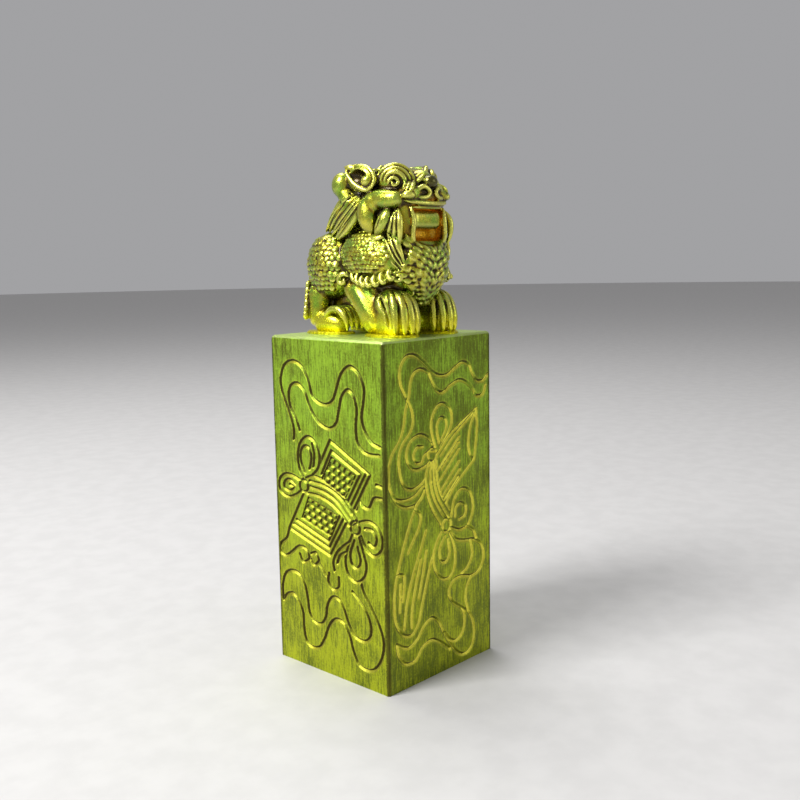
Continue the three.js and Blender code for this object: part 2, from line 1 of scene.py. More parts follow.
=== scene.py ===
"""Looks of a square brass seal stamp whose knob is a cast guardian beast.

The file is laid out as a Blender add-on and is run as a script. Shapes are worked out in millimetres in
the seal's own frame (+Z up, the beast faces -Y, so its right side is -X), and finished meshes are in
metres.
"""

import math

import bmesh
import bpy
import numpy as np
from bpy.props import FloatProperty, FloatVectorProperty, IntProperty, PointerProperty
from bpy.types import Operator, Panel, PropertyGroup
from mathutils import Matrix, Quaternion, Vector, kdtree, noise
from mathutils.bvhtree import BVHTree


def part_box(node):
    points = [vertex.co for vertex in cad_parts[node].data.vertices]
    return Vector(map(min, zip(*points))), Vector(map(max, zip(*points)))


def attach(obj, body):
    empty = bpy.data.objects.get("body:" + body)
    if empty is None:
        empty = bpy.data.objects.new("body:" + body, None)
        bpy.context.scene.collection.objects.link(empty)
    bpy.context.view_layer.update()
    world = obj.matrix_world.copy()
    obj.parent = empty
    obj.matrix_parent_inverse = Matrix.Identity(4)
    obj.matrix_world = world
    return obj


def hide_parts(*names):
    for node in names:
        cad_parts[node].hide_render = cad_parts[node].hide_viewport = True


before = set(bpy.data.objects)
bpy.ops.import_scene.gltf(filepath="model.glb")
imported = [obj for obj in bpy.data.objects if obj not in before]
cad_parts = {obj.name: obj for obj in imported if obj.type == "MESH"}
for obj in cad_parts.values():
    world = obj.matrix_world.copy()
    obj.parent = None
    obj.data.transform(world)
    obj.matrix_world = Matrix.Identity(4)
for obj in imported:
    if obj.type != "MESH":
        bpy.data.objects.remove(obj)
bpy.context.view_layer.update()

bl_info = {
    "name": "Seal stamp",
    "version": (1, 0, 0),
    "blender": (4, 5, 0),
    "location": "3D Viewport > Sidebar > Seal",
    "description": "Models an engraved square brass seal stamp with a cast beast knob",
    "category": "Add Mesh",
}

MM = 0.001
TINY = 1e-4
COLUMN_LOW, COLUMN_HIGH = (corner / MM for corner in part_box("seal_column"))
SIDE = COLUMN_HIGH.x - COLUMN_LOW.x
HALF = SIDE / 2
HEIGHT = COLUMN_HIGH.z - COLUMN_LOW.z
MOST_TRIANGLES = 190000
SHAKE_SEED = 5

# Directions as the beast faces, which the column's sides share
UP = Vector((0, 0, 1))
RIGHTWARD = Vector((-1, 0, 0))
LEFTWARD = Vector((1, 0, 0))
FORWARD = Vector((0, -1, 0))
BACKWARD = Vector((0, 1, 0))
SIDES = {"right": RIGHTWARD, "front": FORWARD, "left": LEFTWARD, "back": BACKWARD}

# Camera that was fitted to the seven corners of the column that the photograph shows
CAMERA_PLACE = Vector((-98.763, -96.121, 57.215))
CAMERA_AZIMUTH = math.radians(-46.844)
CAMERA_ELEVATION = math.radians(8.187)
CAMERA_ROLL = math.radians(-0.96)
CAMERA_FOCAL_PIXELS = 979.38
PICTURE_WIDTH = 800
SENSOR_WIDTH = 36
NEAREST = 0.005

# Lamps: place and size in metres
KEY_LAMP = ((-0.34, 0.08, 0.36), 0.18)
FILL_LAMP = ((0.20, -0.42, 0.16), 0.22)
TOP_LAMP = ((0.05, 0.16, 0.45), 0.2)
FLOOR_RADIUS = 2.0

# Engraved lines of the right and left sides, two bound pages tied with a bow, between ribbons:
# millimetres from the side's left edge as one looks at it, and height
PAGE_RIBBONS = {
    "upper outer": [
        (4.4, 32.6), (4.4, 34.4), (3.7, 36.2), (2.8, 38.0), (2.1, 39.6), (2.0, 41.2), (2.9, 43.0),
        (4.8, 43.6), (6.6, 42.8), (7.8, 41.0), (8.4, 39.2), (9.6, 38.3), (11.2, 38.1), (12.5, 38.8),
        (13.2, 40.2), (14.2, 42.4), (15.8, 43.5), (17.4, 42.8), (18.4, 41.0), (18.3, 39.0),
        (17.9, 37.0), (18.4, 35.4), (19.6, 33.9), (21.2, 33.4),
    ],
    "upper inner": [
        (5.7, 34.0), (5.0, 35.6), (3.8, 37.4), (3.6, 39.2), (4.3, 40.3), (5.6, 40.5), (6.9, 39.6),
        (7.7, 38.0), (8.7, 36.4), (10.0, 35.3), (11.7, 34.9), (13.0, 35.7), (13.6, 37.4),
        (14.2, 39.4), (15.3, 40.4), (16.4, 39.8), (17.0, 38.0), (16.8, 35.8), (17.0, 33.8),
        (18.4, 32.4), (21.0, 32.3),
    ],
    "lower upper": [
        (0.9, 8.8), (0.9, 10.8), (1.6, 12.6), (3.0, 13.4), (4.6, 13.2), (5.8, 11.8), (6.3, 9.8),
        (6.6, 8.0), (7.6, 6.9), (9.0, 6.9), (10.0, 8.2), (10.4, 10.0), (11.4, 11.3), (12.8, 11.3),
        (13.8, 10.0), (14.6, 8.2), (15.8, 6.8), (17.4, 6.5), (18.6, 7.4), (18.8, 9.0), (18.0, 10.8),
        (16.8, 12.0), (15.4, 13.0),
    ],
    "lower lower": [
        (1.0, 8.6), (1.8, 9.6), (3.2, 10.0), (4.4, 9.2), (5.2, 7.6), (5.3, 5.6), (5.7, 3.8),
        (6.8, 3.0), (8.4, 3.3), (9.6, 4.9), (10.6, 7.0), (12.0, 8.3), (13.6, 8.1), (14.7, 6.6),
        (15.4, 4.6), (16.4, 3.0), (18.0, 2.6), (19.6, 3.3), (20.8, 5.2), (21.1, 7.4), (20.3, 9.6),
        (19.0, 11.5), (17.6, 13.4), (17.2, 14.4),
    ],
}
PAGE_EMBLEM = {
    "upper page top": [(11.7, 33.3), (19.2, 29.5)],
    "upper page side": [(19.2, 29.5), (16.1, 24.5)],
    "upper page spine": [(11.7, 33.3), (9.6, 29.8)],
    "lower page spine": [(6.0, 25.0), (2.8, 19.7)],
    "lower page foot": [(2.8, 19.7), (11.2, 17.2)],
    "lower page side": [(11.2, 17.2), (14.5, 22.3)],
    "strap top": [(6.4, 27.3), (8.4, 27.9), (11.0, 27.3), (13.4, 26.2), (15.2, 24.9), (16.3, 23.4)],
    "strap bottom": [(6.9, 25.3), (8.8, 25.3), (11.0, 24.8), (13.2, 23.7), (15.0, 22.1)],
    "tall bow": [
        (6.2, 27.4), (5.3, 28.8), (5.1, 30.6), (5.7, 32.3), (7.2, 33.3), (8.8, 32.6), (9.6, 30.8),
        (9.1, 29.0), (7.8, 27.8),
    ],
    "small bow": [
        (5.6, 26.9), (3.8, 27.4), (2.0, 27.3), (0.9, 26.2), (1.2, 24.8), (2.8, 24.2), (4.4, 24.7),
        (5.6, 25.5),
    ],
    "right bow": [
        (17.1, 22.9), (18.8, 23.3), (20.4, 22.7), (21.3, 21.2), (20.9, 19.6), (19.6, 18.8),
        (18.3, 19.5), (17.3, 21.0),
    ],
    "hanging bow": [
        (15.6, 20.9), (14.7, 18.9), (14.2, 16.9), (14.8, 15.2), (16.2, 14.5), (17.6, 15.3),
        (18.2, 17.0), (17.7, 18.8), (16.9, 20.8),
    ],
    "tail": [(15.3, 20.0), (13.6, 18.8), (12.4, 17.6), (11.8, 16.4), (12.0, 15.2)],
}
PAGE_DETAIL = {
    "upper page edge": [(18.3, 29.4), (15.5, 24.9)],
    "upper page margin": [(17.3, 29.2), (14.8, 25.2)],
    "upper page head": [(11.9, 31.9), (17.5, 29.3)],
    "upper page rule": [(11.9, 31.9), (9.9, 28.4)],
    "lower page rule": [(3.7, 20.4), (11.0, 18.2)],
    "lower page margin": [(11.0, 18.2), (13.9, 22.7)],
    "lower page border": [(4.4, 21.1), (10.9, 19.1)],
    "lower page inside": [(10.9, 19.1), (13.2, 23.0)],
    "strap upper fold": [(7.4, 27.1), (10.6, 26.8), (13.4, 25.7), (15.6, 23.8)],
    "strap lower fold": [(7.2, 26.3), (10.2, 26.0), (12.8, 25.0), (15.2, 23.0)],
    "strap end": [(16.4, 23.4), (16.5, 22.8), (15.6, 22.1)],
    "tall bow eye": [
        (6.6, 28.2), (5.8, 29.6), (5.7, 31.0), (6.5, 31.9), (7.5, 31.7), (7.9, 30.4), (7.5, 28.8),
    ],
    "tall bow fold": [(8.1, 32.4), (8.5, 31.0), (8.3, 29.2)],
    "small bow eye": [
        (4.4, 26.1), (3.2, 26.7), (2.1, 26.3), (2.1, 25.4), (3.2, 25.1), (4.0, 25.7), (3.2, 26.0),
    ],
    "right bow eye": [(18.0, 22.2), (19.4, 22.2), (20.2, 21.2), (19.7, 20.0), (18.7, 20.4)],
    "hanging bow eye": [
        (16.0, 20.2), (15.2, 18.2), (15.5, 16.8), (16.5, 16.5), (17.1, 17.6), (16.6, 19.4),
    ],
    "tail fold": [(14.6, 18.4), (13.2, 17.6), (12.6, 16.4)],
    "tail drop": [(10.9, 14.6), (10.7, 13.5), (11.6, 12.5), (12.7, 13.0), (12.8, 14.4)],
    "left wave": [
        (2.8, 19.7), (2.1, 18.0), (0.8, 17.0), (0.6, 16.0), (1.8, 15.4), (3.2, 16.2), (4.8, 17.3),
        (6.4, 17.1), (6.8, 15.9), (5.6, 15.2), (4.9, 16.2),
    ],
    "left wave end": [(7.3, 16.7), (8.3, 17.0), (8.8, 16.0), (7.9, 15.2), (7.2, 15.9)],
    "left wave drop": [(8.9, 15.6), (9.6, 15.0), (10.2, 14.2)],
    "right wave": [(16.5, 24.4), (17.1, 25.8), (17.8, 25.2), (18.9, 25.1), (19.8, 26.5), (21.3, 26.7)],
    "right wave end": [(20.3, 28.4), (21.4, 28.2)],
}

# The same for the front and back sides, a tied scroll with a feathered end, among ribbons
PLUME_RIBBONS = {
    "upper outer": [
        (21.3, 40.9), (20.2, 40.1), (18.8, 40.3), (17.8, 41.4), (17.1, 42.6), (15.7, 43.1),
        (14.2, 42.5), (12.6, 41.7), (11.0, 41.7), (9.4, 42.4), (7.7, 43.8), (6.0, 44.8), (4.3, 44.7),
        (3.2, 43.3), (3.2, 41.3), (4.1, 39.6), (5.1, 38.0), (5.5, 36.2), (4.9, 34.8), (3.5, 33.5),
        (2.7, 31.8), (2.8, 29.6), (3.6, 27.8), (5.2, 27.1), (6.9, 27.5), (7.9, 28.2),
    ],
    "upper inner": [
        (20.8, 39.4), (20.2, 38.2), (18.8, 38.1), (17.8, 39.2), (16.6, 40.2), (15.0, 40.7),
        (13.3, 40.2), (11.6, 39.4), (10.3, 39.8), (9.3, 41.1), (8.5, 42.4), (7.1, 42.9), (5.8, 42.5),
        (5.1, 41.2), (4.8, 39.6), (4.1, 37.8), (3.7, 35.8), (2.9, 34.0), (1.4, 32.3), (0.7, 30.2),
        (0.9, 27.8), (2.2, 26.3), (4.2, 25.9), (6.0, 26.3), (7.3, 27.1),
    ],
    "right ribbon": [
        (12.9, 19.7), (14.1, 18.4), (16.0, 17.8), (18.0, 17.5), (19.6, 16.4), (20.2, 14.5),
        (19.3, 12.8), (17.4, 12.3), (15.2, 12.8), (13.4, 12.5), (12.4, 11.1), (13.0, 9.7),
        (14.8, 8.4), (16.7, 7.0), (17.7, 5.2), (17.9, 3.2), (17.2, 1.6), (15.7, 1.1), (14.1, 1.9),
        (12.7, 3.4), (11.3, 5.4), (10.2, 7.4), (8.8, 8.4), (7.2, 7.8), (5.8, 6.3), (3.9, 5.6),
        (1.7, 6.7),
    ],
    "lower edge": [
        (1.7, 6.5), (2.2, 4.7), (3.7, 3.4), (5.5, 3.5), (6.8, 4.8), (8.6, 5.3), (10.4, 4.5),
        (12.6, 2.8),
    ],
}
PLUME_EMBLEM = {
    "top quill": [(10.4, 31.1), (13.4, 33.6), (18.7, 36.3)],
    "second quill": [(10.4, 28.9), (14.9, 32.8)],
    "third quill": [(10.6, 27.2), (14.9, 31.1)],
    "fourth quill": [(11.1, 26.0), (14.9, 29.4)],
    "last quill": [(12.0, 24.0), (14.4, 26.4), (18.2, 29.1)],
    "leaf inner edge": [(18.7, 36.0), (17.4, 34.0), (16.9, 31.6), (17.3, 29.8), (18.2, 29.1)],
    "leaf outer edge": [(18.7, 36.0), (18.8, 33.4), (18.2, 29.1)],
    "top bow": [
        (9.8, 32.2), (9.1, 34.4), (9.3, 36.2), (10.4, 37.6), (11.8, 37.8), (13.1, 36.7), (13.3, 35.0),
        (12.4, 33.4), (10.9, 31.9),
    ],
    "left bow": [
        (9.3, 32.6), (8.3, 33.7), (6.7, 34.2), (5.0, 33.6), (4.2, 32.2), (4.4, 30.7), (5.7, 29.7),
        (7.4, 29.7), (8.9, 30.3),
    ],
    "left strap": [(8.5, 30.1), (7.9, 28.0), (8.3, 25.6), (9.3, 23.4), (10.9, 21.2)],
    "right strap": [(10.0, 30.2), (10.2, 27.6), (11.0, 25.2), (12.3, 23.4), (13.2, 22.2)],
    "right bow": [
        (13.1, 21.9), (13.7, 24.0), (15.1, 25.3), (16.7, 25.0), (17.7, 23.4), (17.7, 21.4),
        (16.6, 19.9), (14.8, 19.6), (13.1, 20.3),
    ],
    "hanging bow": [
        (11.0, 20.1), (9.6, 18.2), (9.3, 16.0), (10.1, 14.2), (11.7, 13.2), (13.1, 13.6), (13.8, 15.2),
        (13.7, 17.2), (12.6, 19.8),
    ],
    "scroll outline": [
        (7.6, 26.6), (5.7, 24.4), (4.1, 21.4), (2.7, 18.0), (1.7, 15.0), (1.3, 12.0), (1.7, 9.4),
        (3.0, 7.7), (4.7, 7.2), (6.0, 8.4), (6.8, 10.8), (8.0, 14.3), (9.1, 17.1), (10.6, 19.8),
    ],
    "long fold": [(7.8, 21.0), (6.6, 18.4), (5.0, 15.2), (3.8, 11.8), (3.2, 8.4)],
}
PLUME_DETAIL = {
    "upper ribbon fold": [(1.0, 27.2), (2.4, 25.6), (4.4, 24.8), (6.3, 25.1), (7.7, 26.4)],
    "right ribbon start": [(16.6, 19.9), (17.9, 18.8), (18.5, 17.6)],
    "right ribbon fold": [(17.2, 17.5), (17.6, 15.4), (16.6, 13.8), (15.2, 13.2)],
    "right ribbon edge": [(17.4, 12.3), (16.3, 10.8), (16.1, 9.0), (16.7, 7.0)],
    "lower fold": [(15.0, 8.3), (15.8, 6.6), (15.4, 4.6), (14.0, 3.7), (12.6, 4.2), (11.4, 5.5)],
    "quill edge": [(11.0, 30.7), (14.0, 33.2), (18.4, 35.9)],
    "quill under edge": [(11.2, 28.9), (14.8, 32.0)],
    "fifth quill": [(11.5, 25.2), (15.0, 28.2)],
    "sixth quill": [(11.8, 24.6), (14.8, 27.2)],
    "top bow eye": [(10.6, 32.6), (10.2, 34.6), (10.9, 35.9), (12.0, 35.6), (12.2, 34.4), (11.2, 32.9)],
    "left bow eye": [
        (10.0, 31.6), (8.8, 31.7), (7.7, 31.3), (7.1, 30.4), (5.9, 30.6), (5.5, 31.6), (6.2, 32.6),
        (7.3, 32.5),
    ],
    "middle strap": [(9.0, 30.1), (8.8, 27.6), (9.4, 25.2), (10.6, 23.2), (11.8, 21.7)],
    "inner strap": [(9.5, 30.1), (9.6, 27.4), (10.3, 25.0), (11.6, 23.0), (12.5, 21.8)],
    "right bow eye": [(13.9, 21.7), (14.1, 22.9), (15.1, 23.4), (16.2, 22.7), (16.1, 21.5), (14.8, 21.1)],
    "hanging bow eye": [
        (11.7, 19.3), (10.6, 17.8), (10.7, 16.2), (11.8, 15.7), (12.6, 16.6), (12.3, 18.8),
    ],
    "scroll end": [(5.7, 24.2), (6.7, 23.2), (6.4, 21.7), (5.3, 20.2), (4.2, 18.7)],
    "short fold": [(7.8, 18.2), (7.2, 15.7), (6.2, 12.0)],
    "middle fold": [(6.7, 17.2), (5.6, 13.8), (4.8, 10.6), (4.7, 8.3)],
    "left fold": [(1.9, 16.0), (2.8, 16.0), (3.4, 15.3), (3.0, 12.4)],
    "left fold edge": [(2.6, 14.8), (2.4, 11.0)],
}

# Knots of the bows: centre and radius
PAGE_KNOTS = [((6.2, 26.2), 0.85), ((16.2, 21.9), 0.9)]
PLUME_KNOTS = [((9.3, 31.1), 0.9), ((12.1, 20.8), 0.9)]

# Sunk panels of raised cells on the two pages: corners in order, rows and columns
PAGE_PANELS = [
    ([(11.8, 31.2), (16.6, 29.1), (14.3, 25.6), (9.6, 27.6)], 4, 5),
    ([(6.9, 24.9), (12.9, 23.2), (11.0, 19.9), (5.3, 21.5)], 4, 5),
]

# How far inside the rounded edges a loop of the mesh holds them, and the step along the beast's grooves
HOLDING_LOOP = 0.12
CHASE_SAMPLE = 0.08

# Layers that hold how deep a point lies: rounds of smoothing, and the grains that make a full hollow
HOLLOW_LAYERS = (("hollow", 6, 0.5), ("broad_hollow", 60, 2.6))

# Places of the beast's face: the stained mouth, and the nose, which gets a painted dark reflection. Each
# is a centre, with its height over the seal face, and reach
MOUTH_STAIN = ((0, -8.0, HEIGHT + 14.8), 4.6)
NOSE_PAINTED_REFLECTION = ((0, -9.8, HEIGHT + 20.2), 1.25)


class ColumnSettings(PropertyGroup):
    edge_round: FloatProperty(
        name="Edge Round", description="Radius of the upright and top edges",
        default=0.55 * MM, min=0, unit="LENGTH")
    groove_width: FloatProperty(
        name="Groove Width", description="Width of an engraved line",
        default=0.56 * MM, min=0, unit="LENGTH")
    groove_depth: FloatProperty(
        name="Groove Depth", description="Depth of an engraved line",
        default=0.26 * MM, min=0, unit="LENGTH")
    lip_height: FloatProperty(
        name="Lip Height", description="Height of the metal raised beside a groove",
        default=0.05 * MM, min=0, unit="LENGTH")
    panel_depth: FloatProperty(
        name="Panel Depth", description="Depth of the sunk panels on the pages",
        default=0.26 * MM, min=0, unit="LENGTH")
    unevenness: FloatProperty(
        name="Unevenness", description="Depth of the shallow hollows left by hand finishing",
        default=0.06 * MM, min=0, unit="LENGTH")
    cells: IntProperty(
        name="Cells", description="Mesh cells across a side before the grooves are refined",
        default=24, min=4)
    refinements: IntProperty(
        name="Refinements", description="How often the cells beside a groove are halved",
        default=3, min=0)
    face_depth: FloatProperty(
        name="Seal Face Depth", description="How far the seal face's ground is sunk",
        default=0.8 * MM, min=0, unit="LENGTH")
    border: FloatProperty(
        name="Border", description="Width of the seal face's border",
        default=1.2 * MM, min=0, unit="LENGTH")
    fret_bar: FloatProperty(
        name="Fret Bar", description="Width of a bar of the key frets",
        default=0.9 * MM, min=0, unit="LENGTH")
    fret_gap: FloatProperty(
        name="Fret Gap", description="Gap between the bars of the key frets",
        default=0.8 * MM, min=0, unit="LENGTH")
    bright: FloatVectorProperty(
        name="Bright Patina", description="Colour of the thin patina",
        subtype="COLOR", default=(0.50, 0.56, 0.02))
    green: FloatVectorProperty(
        name="Green Patina", description="Colour of the patina near the top",
        subtype="COLOR", default=(0.36, 0.58, 0.04))
    deep: FloatVectorProperty(
        name="Deep Patina", description="Colour of the thick patina",
        subtype="COLOR", default=(0.13, 0.17, 0.01))
    speck: FloatVectorProperty(
        name="Pale Specks", description="Colour of the small worn spots",
        subtype="COLOR", default=(0.66, 0.72, 0.10))
    # bare brass on the lips of the grooves, and the painted highlight on the groove walls that face the
    # key lamp
    bare_brass_and_highlight: FloatVectorProperty(
        name="Bare Brass", description="Colour of the brass in the grooves",
        subtype="COLOR", default=(0.98, 0.92, 0.10))
    amber: FloatVectorProperty(
        name="Amber", description="Colour of the darker brass in the grooves",
        subtype="COLOR", default=(0.66, 0.42, 0.01))
    # painted highlight on the top bevel, not wear
    painted_top_highlight: FloatVectorProperty(
        name="Worn Top", description="Colour of the rubbed top",
        subtype="COLOR", default=(0.72, 0.86, 0.34))
    # dirt and pits, and painted shade in the cuts and in the hollows
    tarnish_and_shade: FloatVectorProperty(
        name="Tarnish", description="Colour of the dirt in the hollows",
        subtype="COLOR", default=(0.05, 0.035, 0.008))


class BeastSettings(PropertyGroup):
    grain: FloatProperty(
        name="Grain", description="Finest detail of the casting's mesh",
        default=0.12 * MM, min=0.02 * MM, unit="LENGTH")
    scale_spacing: FloatProperty(
        name="Scale Spacing", description="Distance between neighbouring scales",
        default=0.78 * MM, min=0.1 * MM, unit="LENGTH")
    # rubbed brass on the high places, partly painted highlight
    rubbed_and_painted_highlight: FloatVectorProperty(
        name="Rubbed Brass", description="Colour of the highest places",
        subtype="COLOR", default=(0.88, 0.84, 0.16))
    brass: FloatVectorProperty(
        name="Brass", description="Colour between the high places and the hollows",
        subtype="COLOR", default=(0.50, 0.47, 0.03))
    patina: FloatVectorProperty(
        name="Patina", description="Colour of the green tint",
        subtype="COLOR", default=(0.24, 0.40, 0.03))
    # brown patina in the shallow hollows, partly painted shade
    hollow: FloatVectorProperty(
        name="Hollows", description="Colour of the shallow hollows",
        subtype="COLOR", default=(0.26, 0.18, 0.005))
    # tarnish in the deepest hollows, and painted shade there, under overhangs and in recesses, and the
    # nose's painted dark reflection
    tarnish_and_shade: FloatVectorProperty(
        name="Tarnish", description="Colour of the deepest hollows",
        subtype="COLOR", default=(0.03, 0.02, 0.003))
    mouth: FloatVectorProperty(
        name="Mouth", description="Colour of the metal inside the mouth",
        subtype="COLOR", default=(0.92, 0.50, 0.02))
    braze: FloatVectorProperty(
        name="Braze", description="Colour of the run-out braze",
        subtype="COLOR", default=(0.86, 0.80, 0.015))
    dowel: FloatVectorProperty(
        name="Dowel", description="Colour of the two dowels",
        subtype="COLOR", default=(0.62, 0.50, 0.20))


class StageSettings(PropertyGroup):
    floor: FloatVectorProperty(
        name="Floor", description="Colour of the floor",
        subtype="COLOR", default=(0.60, 0.59, 0.58))
    surround: FloatVectorProperty(
        name="Surround", description="Colour of the room",
        subtype="COLOR", default=(0.36, 0.36, 0.37))
    key_power: FloatProperty(
        name="Key Power", description="Power of the main lamp",
        default=2.6, min=0, unit="POWER")
    fill_power: FloatProperty(
        name="Fill Power", description="Power of the lamp on the other side",
        default=0.25, min=0, unit="POWER")
    top_power: FloatProperty(
        name="Top Power", description="Power of the lamp overhead",
        default=0.9, min=0, unit="POWER")


# Shader maths

class Wire:
    """A socket of a material, so that shader maths is written as Python expressions."""

    def __init__(self, finish, socket):
        self.finish = finish
        self.socket = socket

    def maths(self, operation, first, second):
        return self.finish.node("ShaderNodeMath", {"operation": operation}, {0: first, 1: second})

    def __add__(self, other):
        return self.maths("ADD", self, other)

    __radd__ = __add__

    def __sub__(self, other):
        return self.maths("SUBTRACT", self, other)

    def __rsub__(self, other):
        return self.maths("SUBTRACT", other, self)

    def __mul__(self, other):
        return self.maths("MULTIPLY", self, other)

    __rmul__ = __mul__


class Finish:
    """A material with one Principled shader, whose other nodes come from node()."""

    # places of a Mix node's colour sockets
    FIRST_COLOUR = 6
    SECOND_COLOUR = 7
    MIXED_COLOUR = 2

    def __init__(self, name):
        self.material = bpy.data.materials.new(name)
        self.material.use_nodes = True
        self.tree = self.material.node_tree
        self.shader = self.tree.nodes["Principled BSDF"]

    def node(self, kind, settings, inputs, output=0):
        made = self.tree.nodes.new(kind)
        for name, value in settings.items():
            setattr(made, name, value)
        for name, value in inputs.items():
            self.feed(made.inputs[name], value)
        return Wire(self, made.outputs[output])

    def feed(self, socket, value):
        """Links a wire to a socket, or sets the socket to a number, a vector or a colour."""
        if isinstance(value, Wire):
            self.tree.links.new(value.socket, socket)
        elif socket.type == "RGBA" and len(value) == 3:
            socket.default_value = (*value, 1)
        else:
            socket.default_value = value

    def set(self, **inputs):
        for name, value in inputs.items():
            self.feed(self.shader.inputs[name.replace("_", " ")], value)

    def coordinates(self, stretch=(1, 1, 1)):
        """Object coordinates in millimetres, drawn out along an axis where its stretch is below 1."""
        place = self.node("ShaderNodeTexCoord", {}, {}, "Object")
        scale = tuple(amount / MM for amount in stretch)
        return self.node("ShaderNodeMapping", {}, {"Vector": place, "Scale": scale})

    def noise(self, scale, detail=3, roughness=0.55, stretch=(1, 1, 1)):
        place = self.coordinates(stretch)
        inputs = {"Vector": place, "Scale": scale, "Detail": detail, "Roughness": roughness}
        return self.node("ShaderNodeTexNoise", {}, inputs)

    def axes(self, vector):
        """A vector's three parts."""
        parts = self.node("ShaderNodeSeparateXYZ", {}, {"Vector": vector}).socket.node
        return [Wire(self, part) for part in parts.outputs]

    def normal(self):
        """The three parts of the direction that the surface faces."""
        return self.axes(self.node("ShaderNodeNewGeometry", {}, {}, "Normal"))

    def magnitude(self, value):
        """A value without its sign."""
        return self.node("ShaderNodeMath", {"operation": "ABSOLUTE"}, {0: value})

    def within(self, centre, reach):
        """1 at a place, falling to 0 at a reach from it, in the material's millimetres."""
        ends = {0: self.coordinates(), 1: centre}
        away = self.node("ShaderNodeVectorMath", {"operation": "DISTANCE"}, ends, "Value")
        return self.between(away, reach, reach * 0.7)

    def attribute(self, name):
        return self.node("ShaderNodeAttribute", {"attribute_name": name}, {}, "Fac")

    def between(self, value, low, high, out_low=0.0, out_high=1.0):
        """Takes a value's range to another, smoothly and without going past its ends."""
        inputs = {
            "Value": value, "From Min": low, "From Max": high, "To Min": out_low, "To Max": out_high,
        }
        return self.node("ShaderNodeMapRange", {"interpolation_type": "SMOOTHSTEP"}, inputs)

    def blend(self, share, first, second):
        """The first colour, with a share of the second over it."""
        inputs = {0: share, self.FIRST_COLOUR: first, self.SECOND_COLOUR: second}
        return self.node("ShaderNodeMix", {"data_type": "RGBA"}, inputs, self.MIXED_COLOUR)

    def openness(self, distance):
        """How much of the sky a point sees, up to a distance in millimetres."""
        settings = {"samples": 8, "only_local": True}
        return self.node("ShaderNodeAmbientOcclusion", settings, {"Distance": distance * MM}, "AO")

    def bump(self, height, distance, strength):
        inputs = {"Height": height, "Distance": distance * MM, "Strength": strength}
        return self.node("ShaderNodeBump", {}, inputs)


def column_finish(settings):
    """Brass with a green patina, brushed up and down. The cuts get painted shade on their upper walls and
    a painted highlight on their lower walls, as the key lamp would light them.
    """
    finish = Finish("column_patina")
    streaks = finish.noise(5.0, 4, 0.65, (1, 1, 0.07))
    fine_streaks = finish.noise(16.0, 3, 0.6, (1, 1, 0.05))
    clouds = finish.noise(0.22, 5, 0.6)
    specks = finish.noise(3.2, 5, 0.7)
    groove = finish.attribute("groove")
    lip = finish.attribute("lip")
    across, along, rise = finish.normal()
    x, y, height = finish.axes(finish.coordinates())
    front = finish.between(along, -0.5, -0.9)
    upper = finish.between(height + clouds * 20, 20, 50)
    bright = finish.blend(upper, settings.bright, settings.green)
    # the front side is made a little darker, partly as patina and partly as painted shade
    wear = clouds * 0.8 + streaks * 1.1 + fine_streaks * 0.6 + specks * 0.7 - front * 0.1
    colour = finish.blend(finish.between(wear, 1.30, 1.82), settings.deep, bright)
    spots = finish.between(specks, 0.60, 0.72)
    colour = finish.blend(spots * 0.6, colour, settings.speck)
    pits = finish.between(finish.noise(1.6, 6, 0.75), 0.60, 0.72)
    colour = finish.blend(pits * 0.75, colour, settings.tarnish_and_shade)

    # painted light on the cuts: a wall that looks up and back, towards the key lamp, gets a painted
    # highlight, and the one across from it gets painted shade
    flank = finish.between(finish.magnitude(x) - finish.magnitude(y), -0.01, 0.01)
    lamp_facing = rise + along * flank - across * (1 - flank)
    tint = finish.between(finish.noise(0.9, 3), 0.46, 0.62)
    # the front side lies in shade, so its cuts are painted brighter: less amber, more painted highlight
    # and less darkening
    bare_brass_and_highlight = finish.blend(tint * (0.4 - front * 0.3), settings.bare_brass_and_highlight, settings.amber)
    inside = finish.between(groove, 0.02, 0.25)
    rubbed_and_painted_highlight = finish.between(lamp_facing + front * 0.15, 0.05, 0.4)
    painted_wall_shade = finish.between(lamp_facing + front * 0.1, 0.0, -0.35)
    # dirt and painted shade inside the cuts, less of it on the front side
    colour = finish.blend(inside * (0.45 - front * 0.3), colour, settings.tarnish_and_shade)
    colour = finish.blend(inside * rubbed_and_painted_highlight * (0.4 + front * 0.6), colour, bare_brass_and_highlight)
    colour = finish.blend(inside * painted_wall_shade * 0.95, colour, settings.tarnish_and_shade)
    colour = finish.blend(lip * 0.15, colour, bare_brass_and_highlight)
    # painted shade where the surface sees little of the sky
    hollow = finish.between(finish.openness(0.5), 0.4, 0.85, 1.0, 0.0)
    colour = finish.blend(hollow * 0.65, colour, settings.tarnish_and_shade)
    corner = finish.between(finish.magnitude(x) + finish.magnitude(y) + specks * 1.4, SIDE, SIDE + 0.3)
    colour = finish.blend(corner * 0.8, colour, settings.tarnish_and_shade)
    # painted highlight on the top bevel, where it faces up
    top = finish.between(rise, 0.15, 0.5) * finish.between(height, HEIGHT - 0.7, HEIGHT - 0.5)
    colour = finish.blend(top * (0.75 - streaks * 0.5), colour, settings.painted_top_highlight)
    roughness = finish.between(streaks + specks * 0.5, 0.5, 1.0, 0.34, 0.55)
    relief = finish.bump(fine_streaks * 0.5 + streaks * 0.6 + specks * 0.9, 0.05, 0.9)
    finish.set(Base_Color=colour, Metallic=0.85, Roughness=roughness, Normal=relief)
    return finish.material


